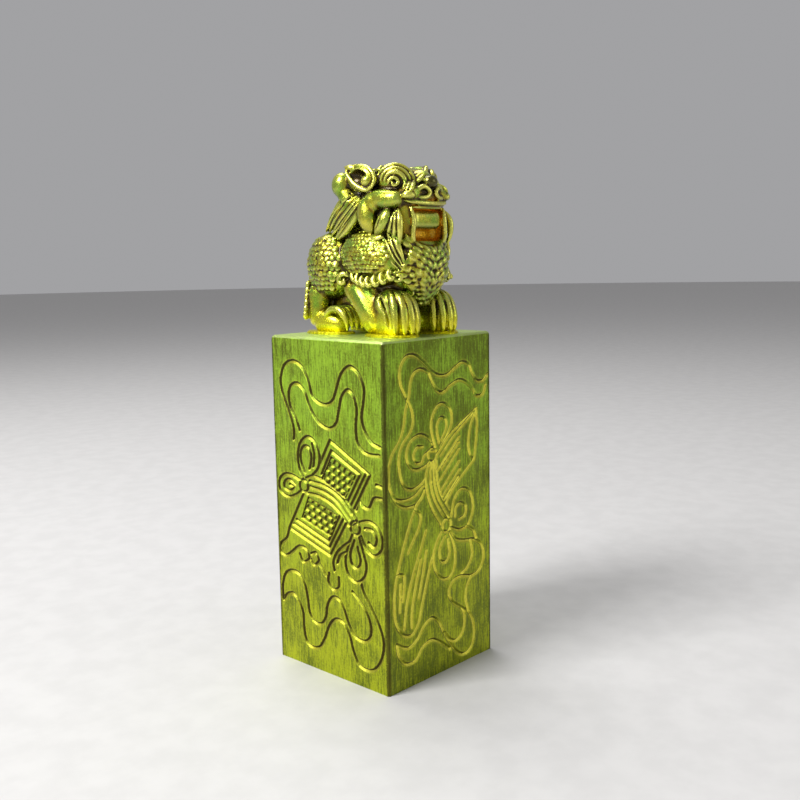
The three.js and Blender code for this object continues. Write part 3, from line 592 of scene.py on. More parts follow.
def beast_finish(settings):
    """Cast brass: rubbed bright and painted highlight on the high places, brown patina and painted shade
    in the hollows, painted shade under overhangs and in recesses, orange inside the mouth, and a painted
    dark reflection on the nose.
    """
    finish = Finish("beast_brass")
    hollow = finish.attribute("hollow")
    broad = finish.attribute("broad_hollow")
    clouds = finish.noise(0.45, 4, 0.6)
    specks = finish.noise(4.5, 4, 0.65)
    grit = finish.noise(2.0, 5, 0.7)
    rise = finish.normal()[2]
    _, y, height = finish.axes(finish.coordinates())
    green = finish.between(clouds + specks * 0.25 - hollow * 0.15, 0.50, 0.76)
    colour = finish.blend(green, settings.brass, settings.patina)
    # rubbed brass on the high places, partly painted highlight
    rubbed_and_painted_highlight = finish.between(hollow * 0.6 + broad * 0.6 + grit * 0.3, 0.05, -0.4)
    colour = finish.blend(rubbed_and_painted_highlight * 0.8, colour, settings.rubbed_and_painted_highlight)
    # brown patina and painted shade in the shallow hollows, and painted shade with tarnish in the deepest
    sunk = finish.between(hollow + broad + grit * 0.3, 0.10, 0.40)
    colour = finish.blend(sunk, colour, settings.hollow)
    deep = finish.between(hollow * 0.8 + broad + grit * 0.3, 0.24, 0.60)
    colour = finish.blend(deep * 0.95, colour, settings.tarnish_and_shade)
    # painted shade on the surfaces that face down
    under = finish.between(rise + grit * 0.3, 0.0, -0.6)
    colour = finish.blend(under * 0.6, colour, settings.tarnish_and_shade)
    # painted shade where the surface sees little of the sky; inside the mouth the colour there is the
    # mouth's orange
    shut = finish.between(finish.openness(1.3), 0.22, 0.78, 1.0, 0.0)
    mouth = finish.within(*MOUTH_STAIN)
    shade_and_mouth_colour = finish.blend(mouth, settings.tarnish_and_shade, settings.mouth)
    colour = finish.blend(shut * 0.85, colour, shade_and_mouth_colour)
    colour = finish.blend(mouth * finish.between(y, -8.9, -8.2) * 0.75, colour, settings.mouth)
    # painted dark reflection on the nose
    colour = finish.blend(finish.within(*NOSE_PAINTED_REFLECTION) * 0.9, colour, settings.tarnish_and_shade)
    foot = finish.between(height + specks * 1.4 - clouds * 1.2, HEIGHT + 4.2, HEIGHT + 0.8)
    colour = finish.blend(foot * 0.9, colour, settings.braze)
    roughness = finish.between(specks + hollow * 0.3, 0.35, 0.75, 0.2, 0.4)
    relief = finish.bump(specks * 0.6 + grit, 0.06, 0.7)
    finish.set(Base_Color=colour, Metallic=0.85, Roughness=roughness, Coat_Weight=0.35, Normal=relief)
    return finish.material


def plain_brass(name, colour, roughness):
    """A pin's or a braze bead's metal, a little uneven."""
    finish = Finish(name)
    specks = finish.noise(3.0, 4, 0.6)
    dull = tuple(channel * 0.55 for channel in colour)
    colour = finish.blend(finish.between(specks, 0.35, 0.65), dull, colour)
    rough = finish.between(specks, 0.3, 0.7, roughness - 0.08, roughness + 0.1)
    finish.set(Base_Color=colour, Metallic=0.9, Roughness=rough, Normal=finish.bump(specks, 0.05, 0.7))
    return finish.material


# Objects and curves

def linked(name, data):
    """A new object in the scene."""
    made = bpy.data.objects.new(name, data)
    bpy.context.scene.collection.objects.link(made)
    return made


def finished_mesh(holder):
    """The mesh that an object's modifiers make. The object itself goes."""
    bpy.context.view_layer.update()
    graph = bpy.context.evaluated_depsgraph_get()
    mesh = bpy.data.meshes.new_from_object(holder.evaluated_get(graph))
    bpy.data.objects.remove(holder)
    return mesh


def smooth_curve(points, shares):
    """Places at the given shares of a smooth curve through the points."""
    points = np.asarray(points, float)
    padded = np.vstack([2 * points[0] - points[1], points, 2 * points[-1] - points[-2]])
    place = np.clip(shares, 0, 1) * (len(points) - 1)
    index = np.minimum(place.astype(int), len(points) - 2)
    t = (place - index)[:, None]
    a, b, c, d = (padded[index + step] for step in range(4))
    bend = (2 * a - 5 * b + 4 * c - d) * t**2
    twist = (3 * b - a - 3 * c + d) * t**3
    return 0.5 * (2 * b + (c - a) * t + bend + twist)


def unit_rows(rows):
    """Each row as a direction of length one."""
    return rows / np.maximum(np.linalg.norm(rows, axis=1, keepdims=True), TINY)


def ring_points(centre, radius):
    angles = np.linspace(0, 2 * math.pi, 13)
    return [(centre[0] + radius * math.cos(a), centre[1] + radius * math.sin(a)) for a in angles]


# The column

def knot_lines(knots):
    return {f"knot {index}": ring_points(centre, radius) for index, (centre, radius) in enumerate(knots)}


def engraving():
    """Lines and sunk panels of each side. The hidden sides repeat the two that the photograph shows."""
    page = ({**PAGE_RIBBONS, **PAGE_EMBLEM, **PAGE_DETAIL, **knot_lines(PAGE_KNOTS)}, PAGE_PANELS)
    plume = ({**PLUME_RIBBONS, **PLUME_EMBLEM, **PLUME_DETAIL, **knot_lines(PLUME_KNOTS)}, [])
    return {"right": page, "front": plume, "left": page, "back": plume}


class Relief:
    """How deep one side is cut at any place, in millimetres."""

    SAMPLE = 0.04
    PANEL_MARGIN = 0.25
    CELL_WALL = 0.17
    SLOPE = 0.12
    GROOVE_ROUNDNESS = 0.8
    # half widths of a groove from its middle to the top of its lip, and the lip's spread
    LIP_PLACE = 1.25
    LIP_SPREAD = 0.35

    def __init__(self, lines, panels, settings):
        self.panels = panels
        self.half_width = settings.groove_width / MM / 2
        self.depth = settings.groove_depth / MM
        self.lip = settings.lip_height / MM
        self.panel_depth = settings.panel_depth / MM
        samples = []
        for points in lines.values():
            length = sum(math.dist(a, b) for a, b in zip(points, points[1:]))
            samples.append(smooth_curve(points, np.linspace(0, 1, int(length / self.SAMPLE))))
        samples = np.vstack(samples)
        self.tree = kdtree.KDTree(len(samples))
        for index, (across, height) in enumerate(samples):
            self.tree.insert((across, height, 0), index)
        self.tree.balance()

    def panel_place(self, corners, across, height):
        """Shares across and down a panel, from the two edges that meet at its first corner."""
        start = np.array(corners[0])
        along = np.array(corners[1]) - start
        down = np.array(corners[3]) - start
        offset = np.array((across, height)) - start
        solved = np.linalg.solve(np.column_stack([along, down]), offset)
        return solved, np.linalg.norm(along), np.linalg.norm(down)

    def distance(self, across, height):
        """Distance to the nearest cut, or less than nothing inside a panel."""
        nearest = self.tree.find((across, height, 0))[2]
        for corners, _, _ in self.panels:
            (u, v), width, tall = self.panel_place(corners, across, height)
            outside = max(-u * width, (u - 1) * width, -v * tall, (v - 1) * tall)
            nearest = min(nearest, outside)
        return nearest

    def at(self, across, height):
        """Depth, how far into a groove, and how far up a groove's lip."""
        away = self.tree.find((across, height, 0))[2] / self.half_width
        groove = max(0.0, 1 - away) ** self.GROOVE_ROUNDNESS
        lip = math.exp(-(((away - self.LIP_PLACE) / self.LIP_SPREAD) ** 2))
        depth = self.lip * (1 - lip) + self.depth * groove
        for corners, rows, columns in self.panels:
            (u, v), width, tall = self.panel_place(corners, across, height)
            if 0 < u < 1 and 0 < v < 1:
                row = int(v * rows)
                shifted = u * columns + 0.5 * (row % 2)
                cell_width = width / columns
                cell_height = tall / rows
                beside = min(shifted % 1, 1 - shifted % 1) * cell_width
                under = min(v * rows % 1, 1 - v * rows % 1) * cell_height
                rim = min(u, 1 - u) * width, min(v, 1 - v) * tall
                inner = min(beside, under)
                raised = min(1.0, max(0.0, (inner - self.CELL_WALL) / self.SLOPE))
                if min(rim) < self.PANEL_MARGIN:
                    raised = 0
                fall = min(1.0, min(rim) / self.SLOPE)
                depth = self.lip + self.panel_depth * (1 - raised) * fall
                groove = max(groove, 0.5 * (1 - raised) * fall)
        return depth, groove, lip * (groove < 0.05)


def fret_bars(settings):
    """Boxes of the seal face's bars, as low and high corners: four square spirals inside the border."""
    bar = settings.fret_bar / MM
    gap = settings.fret_gap / MM
    field = SIDE - 2 * settings.border / MM
    reach = (field - 3 * gap) / 4 - bar / 2
    middle = reach + (bar + gap) / 2
    boxes = []
    for centre_x in (-middle, middle):
        for centre_y in (-middle, middle):
            x, y = centre_x - reach, centre_y - reach
            run = 2 * reach
            turn = 0
            while run > bar:
                dx, dy = ((1, 0), (0, 1), (-1, 0), (0, -1))[turn % 4]
                end_x, end_y = x + dx * run, y + dy * run
                low = min(x, end_x) - bar / 2, min(y, end_y) - bar / 2
                high = max(x, end_x) + bar / 2, max(y, end_y) + bar / 2
                boxes.append((*low, *high))
                x, y = end_x, end_y
                turn += 1
                if turn > 1:
                    run -= bar + gap
    return boxes


def slice_faces(block, faces, direction, places):
    """Cuts the faces with planes square to a direction at the given places, and returns them all."""
    for place in places:
        parts = {*faces, *(e for f in faces for e in f.edges), *(v for f in faces for v in f.verts)}
        cut = bmesh.ops.bisect_plane(
            block, geom=list(parts), dist=TINY, plane_co=direction * place, plane_no=direction)
        faces = [part for part in cut["geom"] if isinstance(part, bmesh.types.BMFace)]
    return faces


def cut_seal_face(block, settings):
    """Sinks the ground between the border and the bars of the key frets."""
    inner = HALF - settings.border / MM
    boxes = fret_bars(settings)
    base = [face for face in block.faces if face.normal.z < -0.9]
    for direction, low, high in ((LEFTWARD, 0, 2), (BACKWARD, 1, 3)):
        places = {round(box[low], 4) for box in boxes} | {round(box[high], 4) for box in boxes}
        base = slice_faces(block, base, direction, sorted(places | {-inner, inner}))
    ground = []
    for face in base:
        x, y = face.calc_center_median().xy
        on_bar = any(box[0] < x < box[2] and box[1] < y < box[3] for box in boxes)
        if max(abs(x), abs(y)) < inner and not on_bar:
            ground.append(face)
    sunk = bmesh.ops.extrude_face_region(block, geom=ground)["geom"]
    verts = [part for part in sunk if isinstance(part, bmesh.types.BMVert)]
    bmesh.ops.translate(block, vec=UP * settings.face_depth / MM, verts=verts)
    bmesh.ops.delete(block, geom=ground, context="FACES")


def on_side(vert, outward):
    return vert.co.dot(outward) > HALF - TINY


def side_place(co, outward):
    """Millimetres from the side's left edge, and height."""
    return co.dot(UP.cross(outward)) + HALF, co.z


def refine_side(block, outward, relief, settings):
    """Halves the cells beside the cuts, over and over."""
    cell = SIDE / settings.cells
    for _ in range(settings.refinements):
        # shorter edges have been halved already
        shortest = cell * 0.6
        reach = relief.half_width * 1.7 + shortest
        edges = []
        for edge in block.edges:
            start, end = edge.verts
            if on_side(start, outward) and on_side(end, outward) and edge.calc_length() > shortest:
                if relief.distance(*side_place((start.co + end.co) / 2, outward)) < reach:
                    edges.append(edge)
        bmesh.ops.subdivide_edges(block, edges=edges, cuts=1, use_grid_fill=True)
        cell /= 2


def carve_side(block, outward, relief, settings, layers):
    """Presses the cuts and the hand-finished unevenness into one side."""
    uneven = settings.unevenness / MM
    for vert in block.verts:
        if on_side(vert, outward):
            depth, groove, lip = relief.at(*side_place(vert.co, outward))
            hollow = uneven * (0.5 + 0.5 * noise.noise(vert.co * 0.35))
            vert[layers["groove"]] = groove
            vert[layers["lip"]] = lip
            vert.co -= outward * (depth + hollow)


def column_mesh(settings):
    """The square prism, with its seal face sunk and its sides engraved."""
    block = bmesh.new()
    size = Matrix.Diagonal((SIDE, SIDE, HEIGHT, 1))
    bmesh.ops.create_cube(block, size=1, matrix=Matrix.Translation(UP * HEIGHT / 2) @ size)
    rounded = [edge for edge in block.edges if any(vert.co.z > TINY for vert in edge.verts)]
    edge_round = settings.edge_round / MM
    bmesh.ops.bevel(
        block, geom=rounded, offset=edge_round, segments=4, affect="EDGES", profile=0.5, material=-1)
    cut_seal_face(block, settings)
    layers = {name: block.verts.layers.float.new(name) for name in ("groove", "lip")}
    reach = HALF - edge_round
    holding = reach - HOLDING_LOOP
    rows = round(settings.cells * HEIGHT / SIDE)
    for name, (lines, panels) in engraving().items():
        outward = SIDES[name]
        faces = [
            face for face in block.faces
            if face.normal.dot(outward) > 0.99 and face.calc_area() > SIDE
        ]
        places = np.linspace(-reach, reach, settings.cells + 1)[1:-1]
        faces = slice_faces(block, faces, UP.cross(outward), [-holding, *places, holding])
        slice_faces(block, faces, UP, np.linspace(0, HEIGHT - edge_round, rows + 1)[1:-1])
        relief = Relief(lines, panels, settings)
        refine_side(block, outward, relief, settings)
        carve_side(block, outward, relief, settings, layers)
    return block


# The beast, in millimetres above the column's top. Paired forms are given for the right side, and the
# mirror makes the left one. A ball is a centre, three radii and a tip about the left-to-right axis. A
# strand is the points and the radii along it, the way it faces and how many times as wide as thick it is.

TORSO = {
    "barrel": ((0, 0.8, 10.0), (4.2, 7.6, 4.9), 0),
    "chest": ((0, -4.2, 8.4), (4.4, 4.0, 5.2), 0),
    "rump": ((0, 5.4, 9.6), (4.1, 4.7, 5.0), 0),
    "withers": ((0, 0.4, 13.6), (4.3, 4.6, 4.0), 0),
    "belly": ((0, 2.2, 4.7), (3.5, 7.6, 4.4), 0),
    "seat": ((0, 7.0, 5.0), (3.2, 2.7, 3.8), 0),
}
LIMB_MASSES = {
    "shoulder": ((-3.9, -2.4, 10.3), (2.5, 5.6, 3.7), 0.15),
    "haunch": ((-3.5, 5.5, 9.5), (2.6, 4.5, 4.6), -0.15),
    "forepaw": ((-3.8, -6.1, 2.2), (2.0, 3.4, 3.2), 0),
    "wrist": ((-4.1, -6.0, 4.2), (1.8, 2.6, 2.1), 0),
}
LEGS = {
    "foreleg": (
        [(-3.8, 0.0, 8.6), (-3.9, -2.0, 5.2), (-4.0, -4.8, 0.6)],
        [1.9, 1.75, 1.9], RIGHTWARD, 1.35,
    ),
    "back of the foreleg": (
        [(-4.6, 1.6, 7.4), (-4.6, 0.0, 5.6), (-4.6, -1.9, 3.4), (-4.6, -3.4, 0.5)],
        [1.2, 1.4, 1.4, 1.5], RIGHTWARD, 1,
    ),
    "side of the foreleg": (
        [(-4.6, 0.4, 7.2), (-4.8, -2.0, 4.4), (-4.7, -4.4, 0.8)],
        [1.2, 1.3, 1.4], RIGHTWARD, 1,
    ),
    "hock": ([(-4.0, 7.8, 6.8), (-4.3, 7.9, 3.6), (-4.3, 7.6, 0.9)], [1.8, 1.4, 1.6], RIGHTWARD, 1.1),
    "hind foot": ([(-4.2, 8.0, 1.2), (-4.2, 5.2, 1.5), (-4.2, 2.4, 1.0)], [1.7, 1.8, 1.3], RIGHTWARD, 1),
}

# Fingers of a forepaw fan out from its middle. Each runs through shares of its reach, back and up.
FOREPAW = Vector((-3.8, -6.0, 0))
FOREPAW_REACH = (2.15, 3.8)
DIGIT_ANGLES = (34, 57, 78, 99, 122, 146)
DIGIT_PATH = ((0.40, 0.9, 6.0), (0.82, 0.3, 5.0), (1.0, 0, 2.9), (1.03, 0, 0.3))
DIGIT_RADII = [0.4, 0.54, 0.54, 0.5]
DIGIT_SLIT = ((0.65, 5.6), (0.95, 4.2), (1.05, 2.4), (1.05, 0.4))
OUTER_SLIT = [(-5.8, -5.2, 5.4), (-6.0, -6.2, 3.9), (-6.0, -6.9, 2.2), (-5.9, -7.3, 0.7)]
HIND_TOE_PLACES = (-5.6, -4.65, -3.7, -2.75)
HIND_TOE = np.array([(0, 5.6, 2.2), (0, 4.0, 3.4), (0, 2.2, 3.3), (0, 1.1, 2.0), (0, 0.9, 0.5)])
HIND_TOE_RADII = [0.4, 0.55, 0.52, 0.4, 0.2]

# Hooked locks below the shoulder hang on a sagging line between two places
FRINGE_LOCKS = 7
FRINGE_ENDS = np.array([(-5.7, -0.9, 8.0), (-5.7, -7.6, 8.2)])
FRINGE_SAG = np.array((-0.7, 0, -0.8))
FRINGE_HOOK = np.array([(0, 0.1, 0.8), (-0.25, 0.2, 0), (-0.3, -0.35, -0.6), (0, -0.6, -0.1)])

TAIL = np.array([(0.6, 9.0, 12.4), (-1.6, 9.4, 9.6), (-3.8, 9.1, 7.0), (-5.0, 8.7, 4.2)])
TAIL_STRANDS = np.array([(-0.525, 0, -0.45), (0, 0, 0), (0.525, 0, 0.45)])
TAIL_CURLS = 6
TAIL_CURL_ENDS = np.array([(-4.6, 9.5, 6.8), (-5.4, 9.3, 2.6)])
SPINE_CENTRE = Vector((0, 2.0, 9.0))
SPINE_ANGLES = (22, 66)
SPINE_BEADS = 7

# Patches of scales: centre, the way they face, half width and half height
HAUNCH_SCALES = ((-3.5, 5.7, 9.7), (-1, 0.25, 0.15), 3.9, 4.0)
SHOULDER_SCALES = ((-3.9, -2.7, 10.9), (-1, 0, 0.35), 4.6, 2.9)
RUMP_SCALES = ((0, 6.0, 11.5), (0, 1, 0.8), 3.0, 3.6)
BEARD_SCALES = ((-3.4, -8.6, 7.6), (-0.8, -0.6, -0.1), 1.5, 3.2)

SKULL = {
    "cranium": ((0, -2.4, 18.2), (4.3, 4.4, 4.2), 0),
    "forehead": ((0, -5.4, 19.4), (4.0, 3.4, 2.9), 0),
    "chin": ((0, -7.8, 10.0), (4.6, 2.3, 3.2), 0),
    "nose bridge": ((0, -7.7, 20.2), (1.2, 2.0, 1.7), 0),
}
SKULL_PAIRS = {
    "brow": ((-2.4, -5.4, 20.3), (2.1, 2.5, 2.35), 0),
    "ear": ((-4.4, -1.4, 20.9), (1.15, 2.6, 1.85), 0.12),
    "lobe behind the ear": ((-4.2, 2.7, 20.3), (1.35, 1.6, 1.75), 0),
    "cheek": ((-4.6, -3.6, 17.7), (1.1, 1.5, 1.5), 0),
}
CHEEKS = {
    "behind the ear": (
        [(-4.1, 2.5, 19.8), (-3.9, 1.6, 18.4), (-3.9, 0.4, 16.8)],
        [1.3, 1.4, 1.2], RIGHTWARD, 1,
    ),
    "below the eye": (
        [(-4.3, -2.8, 18.2), (-4.6, -4.6, 18.1), (-4.5, -6.6, 17.9), (-4.0, -8.4, 18.1)],
        [0.85, 1.0, 1.0, 0.8], RIGHTWARD, 1.25,
    ),
    "down the jaw": (
        [(-4.4, -2.9, 18.6), (-4.9, -2.6, 16.8), (-5.0, -2.9, 15.2), (-4.8, -3.5, 13.4)],
        [0.9, 1.1, 1.05, 0.5], RIGHTWARD, 1.3,
    ),
}
NECK = ([(0, -1.2, 17.6), (0, 1.8, 16.2), (0, 5.2, 13.8)], [4.4, 4.5, 3.6], RIGHTWARD, 0.66)
BEARD = (
    [(0, -7.8, 10.5), (0, -8.0, 8.0), (0, -7.9, 5.8), (0, -7.6, 3.7)],
    [2.1, 2.0, 1.1, 0.4], FORWARD, 2.2,
)
# Blocks are a centre, a size and a rounding
SNOUT_BLOCK = ((0, -7.3, 18.55), (8.0, 4.9, 2.7), 1.2)
JAW_BLOCK = ((0, -5.2, 14.3), (8.6, 7.6, 8.6), 1.8)
MOUTH_HOLLOW = ((0, -9.4, 14.8), (6.0, 4.0, 4.5), 0.8)
EAR_HOLLOW = ((-5.8, -1.3, 21.05), (1.35, 1.95, 1.25), 0.15)
INNER_EAR = ((-4.8, -2.6, 20.5), (0.7, 0.85, 0.8), 0)
TONGUE = ((0, -8.1, 15.3), (5.7, 2.3, 2.5), 0.9)
NOSE_TIP = ((0, -9.65, 20.2), (1.05, 0.9, 0.85), 0)
EYE = Vector((-3.9, -6.8, 20.0))
EYE_FACING = Vector((-0.76, -0.64, 0.1))
BROW_REACHES = (1.42, 1.98, 2.54)

# A leaf-shaped lobe on the cheek with a vein down it, and a roll below it
CHEEK_LEAF = (
    [(-4.7, -6.2, 16.8), (-5.1, -6.2, 15.6), (-5.2, -5.4, 14.4), (-5.1, -4.2, 13.3)],
    [0.45, 0.75, 0.7, 0.2], RIGHTWARD, 1.3,
)
LEAF_VEIN = [(-5.9, -6.0, 16.2), (-6.0, -5.6, 15.0), (-5.9, -4.8, 13.9)]
CHEEK_ROLL = (
    [(-4.6, -2.4, 13.7), (-5.2, -4.2, 12.9), (-4.9, -5.8, 13.2)],
    [0.3, 0.45, 0.3], RIGHTWARD, 1,
)

# Strands of the mouth, the nose and the ears
MOUTH_CORNER = (-0.75, -0.65, 0)
LIP_END = (
    [(-4.0, -7.9, 18.2), (-3.85, -9.0, 18.4), (-3.1, -9.75, 18.3)],
    [0.3, 0.55, 0.35], MOUTH_CORNER, 1,
)
MOUTH_STRAND = (
    [(-3.2, -9.0, 17.0), (-3.05, -9.4, 15.2), (-3.2, -9.3, 13.4), (-2.9, -9.3, 12.3)],
    [0.26, 0.32, 0.34, 0.3], MOUTH_CORNER, 1,
)
NOSTRIL_WING = (
    [
        (-3.0, -9.2, 18.6), (-1.6, -9.8, 19.5), (-0.6, -10.0, 18.9), (-1.1, -10.0, 18.2),
        (-2.4, -9.75, 18.1),
    ],
    [0.28, 0.34, 0.34, 0.3, 0.26], (-0.5, -0.85, 0), 1,
)
LIP = (
    [(-4.0, -8.5, 17.7), (-2.8, -9.5, 17.5), (0, -9.95, 17.4), (2.8, -9.5, 17.5), (4.0, -8.5, 17.7)],
    [0.2, 0.3, 0.32, 0.3, 0.2], FORWARD, 1,
)
GUM = (
    [(-3.1, -8.8, 16.9), (-1.8, -9.3, 16.9), (0, -9.5, 16.9), (1.8, -9.3, 16.9), (3.1, -8.8, 16.9)],
    [0.2, 0.24, 0.24, 0.24, 0.2], FORWARD, 1,
)
EAR_RIM = (
    [
        (-4.9, 1.1, 22.5), (-5.25, 0.6, 21.6), (-5.35, -0.6, 20.4), (-5.3, -1.7, 19.7),
        (-5.1, -2.8, 19.3), (-4.9, -3.7, 19.8), (-4.7, -4.0, 20.7), (-4.7, -3.4, 21.8),
        (-4.7, -2.2, 22.4), (-4.75, -0.6, 22.6), (-4.9, 1.1, 22.5),
    ],
    [0.34, 0.3, 0.32, 0.34], RIGHTWARD, 1,
)
EAR_TIP = ([(-4.8, -0.6, 22.3), (-4.9, 0.5, 22.45), (-5.0, 1.5, 22.6)], [0.3, 0.42, 0.1], RIGHTWARD, 1)
CROWN_CURLS = (
    (-1.4, -2.6, 22.3), (-1.3, -0.6, 22.0), (-1.2, 1.2, 21.0), (-3.2, 0.4, 21.2), (-3.2, -3.9, 21.9),
)

# Folds of the chin's skin: height and half width, and their bow in shares of the half width. They and
# the beard's locks are laid out on an upright plane, and pressed back onto the skin.
CHIN_FOLDS = ((12.9, 2.8), (12.6, 2.2), (12.3, 1.6), (12.0, 0.9))
CHIN_BOW = ((-1, 0), (-0.7, 0.36), (0, 0.5), (0.7, 0.36), (1, 0))
FACE_PLANE = -9

# Rows of the beard's locks narrow downwards, as a cosine does, and bow up towards their outer ends.
# Places along a row are shares of its half width.
BEARD_ROWS = 8
BEARD_TOP = 11.5
BEARD_ROW_STEP = 0.95
BEARD_HALF_WIDTH = 3.6
BEARD_NARROWING = 0.17
BEARD_BOW = (0.6, 1.1)
BEARD_FIRST, BEARD_LAST = 0.04, 1.1
BEARD_LOCK_STEP = 0.3
BEARD_BEADS = 9
BEARD_BEAD_ENDS = np.array([(-4.3, FACE_PLANE, 9.4), (-0.7, FACE_PLANE, 4.4)])

# First and last of the tuft's strands, the whiskers and the locks on the jaw
NOSE_TUFT = np.array([
    [(-1.9, -7.7, 19.3), (-1.2, -6.7, 21.1), (-0.35, -6.6, 22.0)],
    [(-1.9, -7.7, 19.3), (-1.2, -8.8, 20.4), (-0.35, -9.0, 21.1)],
])
WHISKERS = np.array([
    [(-4.5, -7.0, 16.2), (-5.0, -6.8, 15.1), (-5.0, -6.0, 14.3), (-4.6, -4.9, 13.7)],
    [(-4.5, -8.0, 16.8), (-5.0, -8.7, 15.3), (-5.0, -8.7, 13.4), (-4.6, -8.1, 11.4)],
])
JAW_LOCKS = np.array([
    [(-4.7, -4.9, 12.5), (-4.9, -6.1, 11.3), (-4.8, -7.2, 9.8), (-4.3, -8.2, 8.6)],
    [(-4.7, -6.9, 14.0), (-4.9, -7.9, 12.6), (-4.8, -8.5, 11.2), (-4.3, -8.8, 9.8)],
])

# Locks of the mane run along three guides: below the cheek lobes, over the side and down the middle line
MANE_GUIDES = np.array([
    [(-4.7, -2.4, 18.0), (-5.1, -1.0, 16.0), (-5.1, 0.9, 14.4), (-4.8, 3.2, 13.2)],
    [(-4.0, 0.6, 19.2), (-4.5, 2.6, 18.0), (-4.4, 4.3, 16.6), (-4.0, 6.8, 14.0)],
    [(-0.2, 1.4, 20.9), (-0.3, 3.7, 18.7), (-0.3, 5.4, 16.6), (-0.3, 7.6, 14.3)],
])
MANE_STOPS = (0, 0.42, 1)
MANE_LOCKS = 12
BROAD_LOCK = 2
MANE_RADII = np.array([0.42, 0.52, 0.46, 0.2])
MANE_FACINGS = np.array([(-1, 0.1, 0.35), (-0.1, 1, 0.35)])
MANE_SHAKE = (0.3, 0.4, 0.9)


def mix(low, high, share):
    return low + (high - low) * share


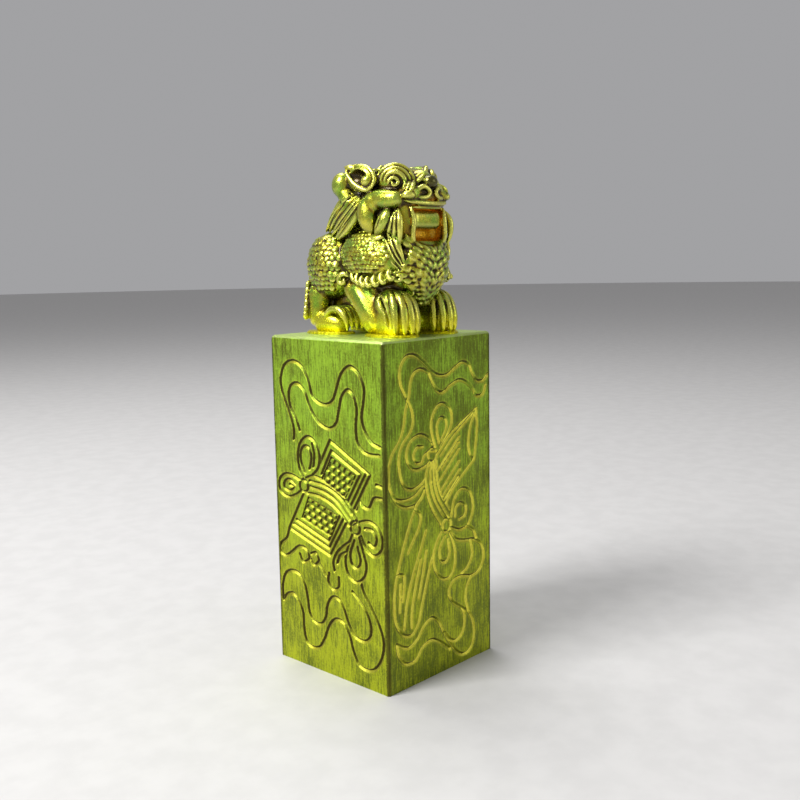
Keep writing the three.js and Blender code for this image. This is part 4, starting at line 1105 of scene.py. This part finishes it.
class Clay:
    """Closed forms in millimetres that a remesh fuses into one skin."""

    BLUNTNESS = 6

    def __init__(self):
        self.mesh = bmesh.new()

    def ball(self, centre, radii, tip):
        turn = Matrix.Rotation(tip, 4, "X")
        matrix = Matrix.Translation(centre) @ turn @ Matrix.Diagonal((*radii, 1))
        bmesh.ops.create_icosphere(self.mesh, subdivisions=4, radius=1, matrix=matrix)

    def bead(self, centre, radius):
        matrix = Matrix.Translation(centre) @ Matrix.Scale(radius, 4)
        bmesh.ops.create_icosphere(self.mesh, subdivisions=2, radius=1, matrix=matrix)

    def block(self, centre, size, rounding):
        matrix = Matrix.Translation(centre) @ Matrix.Diagonal((*size, 1))
        made = bmesh.ops.create_cube(self.mesh, size=1, matrix=matrix)["verts"]
        edges = {edge for vert in made for edge in vert.link_edges}
        bmesh.ops.bevel(
            self.mesh, geom=list(edges), offset=rounding, segments=4, affect="EDGES", profile=0.5,
            material=-1)

    def limb(self, points, radii, facing=RIGHTWARD, wide=1, sides=14, rings=20):
        """A round-ended strand along a curve, `wide` times as wide as it is thick towards facing."""
        made = bmesh.ops.create_uvsphere(self.mesh, u_segments=sides, v_segments=rings, radius=1)["verts"]
        unit = np.array([vert.co for vert in made])
        share = (1 - unit[:, 2]) / 2
        around = np.arctan2(unit[:, 1], unit[:, 0])
        taper = smooth_curve(np.array(radii, float)[:, None], share)[:, 0]
        taper *= np.sqrt(np.clip(1 - np.abs(2 * share - 1) ** self.BLUNTNESS, 0, 1))
        centre = smooth_curve(points, share)
        forward = unit_rows(smooth_curve(points, share + 0.01) - smooth_curve(points, share - 0.01))
        facing = np.array(facing, float)
        outward = unit_rows(facing - forward * (forward @ facing)[:, None])
        sideways = np.cross(forward, outward)
        place = centre + sideways * (np.cos(around) * taper * wide)[:, None]
        place += outward * (np.sin(around) * taper)[:, None]
        for vert, co in zip(made, place):
            vert.co = co

    def curl(self, centre, facing, radius, thickness, turns, start=90, turning=1):
        """A snail curl that winds inwards from a start in degrees."""
        facing = Vector(facing).normalized()
        level = UP.cross(facing).normalized()
        rise = facing.cross(level)
        points = []
        for share in np.linspace(0, 1, 14):
            angle = math.radians(start + turning * 360 * turns * share)
            away = radius * (1 - 0.85 * share)
            spot = Vector(centre) + level * away * math.cos(angle) + rise * away * math.sin(angle)
            points.append(spot + facing * thickness * share)
        self.limb(points, [thickness, thickness * 0.95, thickness * 0.7], facing, sides=10, rings=34)

    def scale(self, spot, normal, rise, size):
        """A flat disc that is tipped so that its lower edge stands out."""
        shake = noise.noise_vector(spot * 2.7)
        level = rise.cross(normal).normalized()
        outward = Quaternion(level, math.radians(-20 + 14 * shake.x)) @ normal
        turn = Matrix((level, outward.cross(level), outward)).transposed().to_4x4()
        size *= 1 + 0.3 * shake.y
        matrix = Matrix.Translation(spot + (level * shake.z + rise * shake.x) * size * 0.45) @ turn
        matrix @= Matrix.Diagonal((size, size * 1.1, size * 0.36, 1))
        bmesh.ops.create_icosphere(self.mesh, subdivisions=2, radius=1, matrix=matrix)

    def scale_patch(self, skin, centre, facing, half_width, half_height, spacing):
        """Rows of scales on the skin, inside an oval that looks along facing."""
        facing = Vector(facing).normalized()
        level = UP.cross(facing).normalized()
        rise = facing.cross(level)
        row_step = spacing * 0.86
        rows = int(half_height / row_step)
        columns = int(half_width / spacing) + 1
        for row in range(-rows, rows + 1):
            for column in range(-columns, columns + 1):
                along = (column + 0.5 * (row % 2)) * spacing
                up = row * row_step
                if (along / half_width) ** 2 + (up / half_height) ** 2 < 1:
                    spot = Vector(centre) + level * along + rise * up
                    landed, normal = cast(skin, spot, facing)
                    if normal:
                        self.scale(landed, normal, rise, spacing * 0.66)

    def mirror(self):
        """Adds the left side's forms."""
        parts = list(self.mesh.verts) + list(self.mesh.edges) + list(self.mesh.faces)
        bmesh.ops.mirror(self.mesh, geom=parts, merge_dist=-1, axis="X")

    def add(self, mesh):
        self.mesh.from_mesh(mesh)

    def fused(self, grain, softening, cutter=None):
        """One skin round all the forms, less the cutter's."""
        mesh = bpy.data.meshes.new("clay")
        self.mesh.to_mesh(mesh)
        rough = linked("clay", mesh)
        remesh = rough.modifiers.new("Fuse", "REMESH")
        remesh.mode = "VOXEL"
        remesh.voxel_size = grain
        if cutter:
            knife = linked("knife", cutter)
            cut = rough.modifiers.new("Hollow", "BOOLEAN")
            cut.operation = "DIFFERENCE"
            cut.solver = "MANIFOLD"
            cut.object = knife
        soften = rough.modifiers.new("Soften", "SMOOTH")
        soften.factor = 0.5
        soften.iterations = softening
        skin = finished_mesh(rough)
        if cutter:
            bpy.data.objects.remove(knife)
        return skin


def skin_tree(mesh):
    """A mesh's surface, for finding places on it."""
    shape = bmesh.new()
    shape.from_mesh(mesh)
    tree = BVHTree.FromBMesh(shape)
    shape.free()
    return tree


def cast(skin, point, facing):
    """The outermost place on a skin in line with a point, and the normal there."""
    spot, normal, _, _ = skin.ray_cast(Vector(point) + facing * 20, -facing)
    return (spot, normal) if spot else (Vector(point), None)


def pressed(points, skin, facing, lift):
    """A smooth curve through points, laid on the skin as it is seen along facing."""
    facing = Vector(facing).normalized()
    places = smooth_curve([tuple(point) for point in points], np.linspace(0, 1, 3 * len(points)))
    return [cast(skin, place, facing)[0] + facing * lift for place in places]


def chase(mesh, lines, width, depth):
    """Cuts fine grooves into a mesh along lines in space, on both sides of the beast."""
    samples = []
    for points in lines:
        points = np.array(points, float)
        length = np.linalg.norm(np.diff(points, axis=0), axis=1).sum()
        samples.append(smooth_curve(points, np.linspace(0, 1, int(length / CHASE_SAMPLE) + 2)))
    samples = np.vstack(samples)
    tree = kdtree.KDTree(2 * len(samples))
    for index, (x, y, z) in enumerate(samples):
        tree.insert((x, y, z), 2 * index)
        tree.insert((-x, y, z), 2 * index + 1)
    tree.balance()
    normals = [vert.normal.copy() for vert in mesh.vertices]
    for vert, normal in zip(mesh.vertices, normals):
        away = tree.find(vert.co)[2] / (width / 2)
        if away < 1:
            vert.co -= normal * depth * (1 - away**2)


def paw_reach(degrees):
    """From a forepaw's middle to its rim, at an angle from the outer side round to the front."""
    turn = math.radians(degrees)
    return Vector((-FOREPAW_REACH[0] * math.cos(turn), -FOREPAW_REACH[1] * math.sin(turn), 0))


def forepaw_digits(clay):
    """Fingers that fan out from the outer side to the front."""
    for angle in DIGIT_ANGLES:
        reach = paw_reach(angle)
        path = [FOREPAW + reach * share + Vector((0, back, height)) for share, back, height in DIGIT_PATH]
        clay.limb(path, DIGIT_RADII, reach.normalized(), rings=26)


def forepaw_slits():
    """Lines between neighbouring fingers."""
    slits = []
    for before, after in zip(DIGIT_ANGLES, DIGIT_ANGLES[1:]):
        reach = paw_reach((before + after) / 2)
        slits.append([FOREPAW + reach * share + UP * height for share, height in DIGIT_SLIT])
    return slits


def hind_toes(clay):
    """Toes side by side over the front of a hind foot."""
    for place in HIND_TOE_PLACES:
        clay.limb(HIND_TOE + np.array((place, 0, 0)), HIND_TOE_RADII)


def shoulder_fringe(clay):
    """Hooked locks that hang from the lower edge of the shoulder."""
    for share in np.linspace(0, 1, FRINGE_LOCKS):
        root = mix(*FRINGE_ENDS, share) + FRINGE_SAG * math.sin(math.pi * share)
        clay.limb(root + FRINGE_HOOK, [0.34, 0.42, 0.34, 0.22], sides=10)


def tail_strands(clay):
    """The tail lies over the rump and ends in a fringe of curls beside the right haunch."""
    for offset in TAIL_STRANDS:
        clay.limb(TAIL + offset, [0.5, 0.6, 0.55, 0.3], BACKWARD)
    for share in np.linspace(0, 1, TAIL_CURLS):
        spot = Vector(mix(*TAIL_CURL_ENDS, share))
        clay.curl(spot, (-0.5, 0.85, 0), radius=0.62, thickness=0.4, turns=1, start=60, turning=-1)
        clay.curl(spot + Vector((0.9, -0.1, 0.3)), (-0.3, 0.95, 0), radius=0.6, thickness=0.4, turns=1)


def spine(clay, skin):
    """Beads down the middle of the back."""
    for angle in np.radians(np.linspace(*SPINE_ANGLES, SPINE_BEADS)):
        away = Vector((0, math.cos(angle), math.sin(angle)))
        spot, _ = cast(skin, SPINE_CENTRE, away)
        clay.bead(spot, 0.62)


def body_skin(settings):
    """Torso, legs and tail, covered with scales where the real casting has them."""
    paired = Clay()
    for mass in LIMB_MASSES.values():
        paired.ball(*mass)
    for leg in LEGS.values():
        paired.limb(*leg)
    paired.mirror()
    for mass in TORSO.values():
        paired.ball(*mass)
    base = paired.fused(grain=0.22, softening=6)
    skin = skin_tree(base)

    spacing = settings.scale_spacing / MM
    detail = Clay()
    detail.scale_patch(skin, *HAUNCH_SCALES, spacing)
    detail.scale_patch(skin, *SHOULDER_SCALES, spacing * 0.8)
    forepaw_digits(detail)
    hind_toes(detail)
    shoulder_fringe(detail)
    # a curl at the elbow and one where the fringe meets the beard
    detail.curl((-5.7, 1.3, 7.5), (-0.95, -0.25, 0), radius=0.95, thickness=0.42, turns=1.1, start=20)
    detail.curl((-4.9, -8.2, 7.9), (-0.7, -0.7, 0), radius=0.75, thickness=0.3, turns=1.2)
    detail.mirror()
    detail.scale_patch(skin, *RUMP_SCALES, spacing)
    tail_strands(detail)
    spine(detail, skin)
    detail.add(base)
    mesh = detail.fused(settings.grain / MM, softening=1)
    chase(mesh, forepaw_slits(), width=0.5, depth=0.35)
    chase(mesh, [OUTER_SLIT], width=0.8, depth=0.9)
    return mesh


def eye_and_brow(clay, skin):
    """A snail-curl eye with ridges that ring its top."""
    facing = EYE_FACING.normalized()
    level = UP.cross(facing).normalized()
    rise = facing.cross(level)
    centre, _ = cast(skin, EYE, facing)
    clay.curl(
        centre + facing * 0.15, facing, radius=0.82, thickness=0.27, turns=1.2, start=200, turning=-1)
    for reach in BROW_REACHES:
        arc = [
            EYE + level * reach * math.cos(angle) + rise * reach * math.sin(angle)
            for angle in np.radians(np.linspace(168, -38, 9))
        ]
        clay.limb(pressed(arc, skin, facing, lift=0.05), [0.22, 0.32, 0.34, 0.26], facing, rings=34)


def cheek_and_whiskers(clay):
    """The cheek's leaf-shaped lobe, the roll below it, flame-shaped whiskers, and the jaw's locks."""
    clay.limb(*CHEEK_LEAF)
    clay.limb(*CHEEK_ROLL)
    for share in np.linspace(0, 1, 4):
        clay.limb(mix(*WHISKERS, share), [0.22, 0.42, 0.36, 0.08])
        clay.limb(mix(*JAW_LOCKS, share), [0.22, 0.38, 0.36, 0.1])


def mouth_side(clay):
    """The corner of the mouth: the lip's swelling, an inner strand and the nostril's wing."""
    clay.limb(*LIP_END)
    clay.limb(*MOUTH_STRAND)
    clay.limb(*NOSTRIL_WING, rings=30)


def ear_rim(clay):
    """The ear's rolled rim, its tip and the curl inside it."""
    clay.limb(*EAR_RIM, rings=44)
    clay.limb(*EAR_TIP)
    clay.ball(*INNER_EAR)


def mane_path(share):
    """A lock's curve, at a share of the way from the cheek round to the middle of the nape."""
    return np.array([
        [np.interp(share, MANE_STOPS, MANE_GUIDES[:, point, axis]) for axis in range(3)]
        for point in range(MANE_GUIDES.shape[1])
    ])


def mane(clay):
    """Thick locks, one of them broad and smooth, from behind the cheek round the back of the neck."""
    for index, share in enumerate(np.linspace(0, 1, MANE_LOCKS)):
        wide = 1.7 if index == BROAD_LOCK else 1
        shake = noise.noise_vector(Vector((0, 0, 2.3 * index)))
        path = mane_path(share)
        path[2:] += np.array(shake) * MANE_SHAKE
        clay.limb(path, MANE_RADII * (1 + 0.3 * shake.y), mix(*MANE_FACINGS, share), wide)


def crown(clay, skin):
    """Snail curls on top and at the back of the head."""
    for place in CROWN_CURLS:
        spot, normal, _, _ = skin.find_nearest(Vector(place))
        clay.curl(spot + normal * 0.02, normal, radius=0.85, thickness=0.34, turns=1.3)


def nose_tuft(clay):
    """Strands that fan up from beside the nose to a ridge between the brows."""
    for share in np.linspace(0, 1, 5):
        clay.limb(mix(*NOSE_TUFT, share), [0.2, 0.34, 0.28], (-0.6, -0.5, 0.6))


def muzzle_and_chin(clay, skin):
    """The forms on the middle line of the head."""
    clay.block(*TONGUE)
    clay.ball(*NOSE_TIP)
    clay.limb(*LIP, rings=34)
    clay.limb(*GUM, rings=30)
    for height, half in CHIN_FOLDS:
        arc = [(half * across, FACE_PLANE, height - half * drop) for across, drop in CHIN_BOW]
        fold = pressed(arc, skin, FORWARD, lift=0.02)
        clay.limb(fold, [0.16, 0.22, 0.24, 0.22, 0.16], FORWARD, rings=30)


def beard_locks(clay, skin):
    """Rows of short pointed locks that sweep down to the middle line, with beaded locks outside them."""
    for row in range(BEARD_ROWS):
        half = BEARD_HALF_WIDTH * math.cos(BEARD_NARROWING * row)
        first = BEARD_FIRST + BEARD_LOCK_STEP / 2 * (row % 2)
        for share in np.arange(first, BEARD_LAST, BEARD_LOCK_STEP):
            shake = noise.noise_vector(Vector((share * 5, 0, row * 1.7))) * 0.6
            x = -half * share + shake.x * 0.5
            bow = BEARD_BOW[0] * share + BEARD_BOW[1] * share**2
            h = BEARD_TOP - BEARD_ROW_STEP * row + bow + shake.y * 0.4
            size = 1 + shake.z * 0.5
            lock = [
                (x - 0.4 * size, FACE_PLANE, h + 0.35),
                (x, FACE_PLANE, h - 0.35),
                (x + 0.45, FACE_PLANE, h - 0.7),
                (x + 0.7 * size, FACE_PLANE, h - 1.3 * size),
            ]
            radii = [0.28 * size, 0.52 * size, 0.42 * size, 0.12]
            clay.limb(pressed(lock, skin, FORWARD, lift=0.04), radii, FORWARD, sides=10, rings=14)
    clay.scale_patch(skin, *BEARD_SCALES, spacing=0.95)
    for share in np.linspace(0, 1, BEARD_BEADS):
        spot, normal = cast(skin, mix(*BEARD_BEAD_ENDS, share), FORWARD)
        if normal:
            clay.bead(spot, 0.42)


def head_lines():
    """Fine grooves between the mane's locks, the whiskers and the jaw's locks, and down the leaf."""
    lines = [mane_path(share) + np.array((-0.5, 0.2, 0.2)) for share in np.linspace(0.04, 0.96, 12)]
    for share in (1 / 6, 1 / 2, 5 / 6):
        for guides in (WHISKERS, JAW_LOCKS):
            lines.append(mix(*guides, share) + np.array((-0.3, 0, 0)))
    lines.append(LEAF_VEIN)
    return lines


def head_skin(settings):
    """The head with its open mouth, ears, mane and beard."""
    paired = Clay()
    for mass in SKULL_PAIRS.values():
        paired.ball(*mass)
    for cheek in CHEEKS.values():
        paired.limb(*cheek)
    paired.mirror()
    for mass in SKULL.values():
        paired.ball(*mass)
    paired.block(*SNOUT_BLOCK)
    paired.block(*JAW_BLOCK)
    paired.limb(*NECK)
    paired.limb(*BEARD)
    knife = Clay()
    knife.ball(*EAR_HOLLOW)
    knife.mirror()
    knife.block(*MOUTH_HOLLOW)
    base = paired.fused(grain=0.2, softening=4, cutter=knife.fused(grain=0.2, softening=2))
    skin = skin_tree(base)

    detail = Clay()
    eye_and_brow(detail, skin)
    cheek_and_whiskers(detail)
    mouth_side(detail)
    ear_rim(detail)
    mane(detail)
    crown(detail, skin)
    nose_tuft(detail)
    beard_locks(detail, skin)
    detail.mirror()
    muzzle_and_chin(detail, skin)
    detail.add(base)
    mesh = detail.fused(settings.grain / MM, softening=1)
    chase(mesh, head_lines(), width=0.34, depth=0.22)
    return mesh


def level_off(block, height):
    """Cuts a solid flat at a height, as the soles are."""
    parts = list(block.verts) + list(block.edges) + list(block.faces)
    bmesh.ops.bisect_plane(block, geom=parts, plane_co=UP * height, plane_no=UP, clear_inner=True)
    bmesh.ops.holes_fill(block, edges=[edge for edge in block.edges if edge.is_boundary], sides=0)


def neighbour_mean(values, ends, counts):
    """The mean place of each point's neighbours along the edges."""
    total = np.column_stack([
        np.bincount(ends[:, 0], values[ends[:, 1], axis], len(values))
        + np.bincount(ends[:, 1], values[ends[:, 0], axis], len(values))
        for axis in range(3)
    ])
    return total / counts[:, None]


def mark_hollows(mesh, grain):
    """Stores how deep each point lies below the smoothed surface, closely and broadly."""
    count = len(mesh.vertices)
    places = np.empty(count * 3)
    mesh.vertices.foreach_get("co", places)
    normals = np.empty(count * 3)
    mesh.vertices.foreach_get("normal", normals)
    ends = np.empty(len(mesh.edges) * 2, int)
    mesh.edges.foreach_get("vertices", ends)
    places, normals, ends = places.reshape(-1, 3), normals.reshape(-1, 3), ends.reshape(-1, 2)
    counts = np.maximum(np.bincount(ends.ravel(), minlength=count), 1)
    smooth = places.copy()
    done = 0
    for name, rounds, full in HOLLOW_LAYERS:
        while done < rounds:
            smooth = (smooth + neighbour_mean(smooth, ends, counts)) / 2
            done += 1
        depth = ((smooth - places) * normals).sum(axis=1) / (grain * full)
        layer = mesh.attributes.new(name, "FLOAT", "POINT")
        layer.data.foreach_set("value", depth.astype(np.float32))


# Pieces

def thinned(mesh):
    """The same shape with fewer triangles where it is smoothest, so that no piece is too heavy."""
    triangles = sum(len(face.vertices) - 2 for face in mesh.polygons)
    if triangles <= MOST_TRIANGLES:
        return mesh
    holder = linked("thinning", mesh)
    holder.modifiers.new("Thin", "DECIMATE").ratio = MOST_TRIANGLES / triangles
    thin = finished_mesh(holder)
    thin.name = mesh.name
    return thin


def place_piece(name, block, lift, finish, stands_for):
    """Turns a form in millimetres into an object in metres, riding on the seal's one body."""
    mesh = bpy.data.meshes.new(name)
    block.to_mesh(mesh)
    block.free()
    mesh = thinned(mesh)
    mesh.transform(Matrix.Scale(MM, 4) @ Matrix.Translation(UP * lift))
    mesh.shade_smooth()
    mesh.materials.clear()
    mesh.materials.append(finish)
    piece = linked(name, mesh)
    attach(piece, "root")
    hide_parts(stands_for)
    return piece


class SEAL_OT_column(Operator):
    """Model the engraved column"""

    bl_idname = "seal.column"
    bl_label = "Engraved Column"

    def execute(self, context):
        settings = context.scene.seal_column
        block = column_mesh(settings)
        finish = column_finish(settings)
        piece = place_piece("engraved_column", block, COLUMN_LOW.z, finish, "seal_column")
        piece.data.set_sharp_from_angle(angle=math.radians(50))
        return {"FINISHED"}


def cast_piece(name, skin, settings, finish):
    """One part of the casting, with its hollows marked and its soles flat."""
    mark_hollows(skin, settings.grain / MM)
    block = bmesh.new()
    block.from_mesh(skin)
    level_off(block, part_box("beast_knob")[0].z / MM - HEIGHT)
    place_piece(name, block, HEIGHT, finish, "beast_knob")


class SEAL_OT_beast(Operator):
    """Model the beast's body and head"""

    bl_idname = "seal.beast"
    bl_label = "Cast Beast"

    def execute(self, context):
        settings = context.scene.seal_beast
        finish = beast_finish(settings)
        # without a seed the shake of scales and locks would follow the clock
        noise.seed_set(SHAKE_SEED)
        cast_piece("beast_body", body_skin(settings), settings, finish)
        cast_piece("beast_head", head_skin(settings), settings, finish)
        return {"FINISHED"}


class SEAL_OT_joint_metal(Operator):
    """Finish the braze under the feet and the two dowels"""

    bl_idname = "seal.joint_metal"
    bl_label = "Braze and Dowels"

    def execute(self, context):
        settings = context.scene.seal_beast
        braze = plain_brass("run_out_braze", settings.braze, roughness=0.4)
        rod = plain_brass("dowel_brass", settings.dowel, roughness=0.34)
        for name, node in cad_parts.items():
            if name.startswith("braze"):
                node.material_slots[0].material = braze
            elif name.startswith("locating_pin"):
                node.material_slots[0].material = rod
        return {"FINISHED"}


def lamp(name, place, size, power):
    """A square lamp that looks at the beast's feet."""
    light = bpy.data.lights.new(name, "AREA")
    light.energy = power
    light.size = size
    away = UP * HEIGHT * MM - Vector(place)
    turn = away.to_track_quat("-Z", "Y").to_matrix().to_4x4()
    linked(name, light).matrix_world = Matrix.Translation(place) @ turn


def photograph_camera():
    """The camera at the photograph's place, with its lens worked out for a picture 800 pixels wide."""
    azimuth, elevation = CAMERA_AZIMUTH, CAMERA_ELEVATION
    level = math.cos(elevation)
    back = Vector((math.sin(azimuth) * level, -math.cos(azimuth) * level, math.sin(elevation)))
    right = Vector((math.cos(azimuth), math.sin(azimuth), 0))
    upward = back.cross(right)
    turned = Matrix((right, upward, back)).transposed() @ Matrix.Rotation(CAMERA_ROLL, 3, "Z")
    lens = bpy.data.cameras.new("photograph_camera")
    lens.sensor_width = SENSOR_WIDTH
    lens.lens = CAMERA_FOCAL_PIXELS / PICTURE_WIDTH * SENSOR_WIDTH
    lens.clip_start = NEAREST
    camera = linked("photograph_camera", lens)
    camera.matrix_world = Matrix.Translation(CAMERA_PLACE * MM) @ turned.to_4x4()
    bpy.context.scene.camera = camera


class SEAL_OT_stage(Operator):
    """Set the floor, the lamps, the room and the camera"""

    bl_idname = "seal.stage"
    bl_label = "Stage"

    def execute(self, context):
        settings = context.scene.seal_stage
        ground = bmesh.new()
        bmesh.ops.create_circle(ground, cap_ends=True, segments=64, radius=FLOOR_RADIUS)
        mesh = bpy.data.meshes.new("floor")
        ground.to_mesh(mesh)
        ground.free()
        finish = Finish("pale_floor")
        grain = finish.noise(0.2, 3)
        shade = finish.between(grain, 0.3, 0.7, 0.94, 1.0)
        colour = finish.blend(shade, (0, 0, 0), settings.floor)
        finish.set(Base_Color=colour, Roughness=0.7)
        mesh.materials.append(finish.material)
        linked("floor", mesh)

        world = bpy.data.worlds.new("room")
        context.scene.world = world
        world.use_nodes = True
        world.node_tree.nodes["Background"].inputs["Color"].default_value = (*settings.surround, 1)

        lamp("key_lamp", *KEY_LAMP, settings.key_power)
        lamp("fill_lamp", *FILL_LAMP, settings.fill_power)
        lamp("top_lamp", *TOP_LAMP, settings.top_power)
        photograph_camera()
        context.scene.view_settings.view_transform = "Standard"
        return {"FINISHED"}


class SEAL_PT_panel(Panel):
    """Lists the seal's pieces"""

    bl_idname = "SEAL_PT_panel"
    bl_label = "Seal Stamp"
    bl_space_type = "VIEW_3D"
    bl_region_type = "UI"
    bl_category = "Seal"

    def draw(self, context):
        layout = self.layout
        for operator, settings in PANEL_ROWS:
            box = layout.box()
            box.operator(operator.bl_idname)
            if settings:
                group = getattr(context.scene, settings)
                for name in group.__annotations__:
                    box.prop(group, name)


PANEL_ROWS = (
    (SEAL_OT_stage, "seal_stage"),
    (SEAL_OT_column, "seal_column"),
    (SEAL_OT_beast, "seal_beast"),
    (SEAL_OT_joint_metal, None),
)
SETTINGS = {"seal_column": ColumnSettings, "seal_beast": BeastSettings, "seal_stage": StageSettings}
CLASSES = (*SETTINGS.values(), *(operator for operator, _ in PANEL_ROWS), SEAL_PT_panel)


def register():
    for cls in CLASSES:
        bpy.utils.register_class(cls)
    for name, settings in SETTINGS.items():
        setattr(bpy.types.Scene, name, PointerProperty(type=settings))


def unregister():
    for name in SETTINGS:
        delattr(bpy.types.Scene, name)
    for cls in reversed(CLASSES):
        bpy.utils.unregister_class(cls)


def main():
    register()
    bpy.ops.seal.stage()
    bpy.ops.seal.column()
    bpy.ops.seal.beast()
    bpy.ops.seal.joint_metal()


if __name__ == "__main__":
    main()
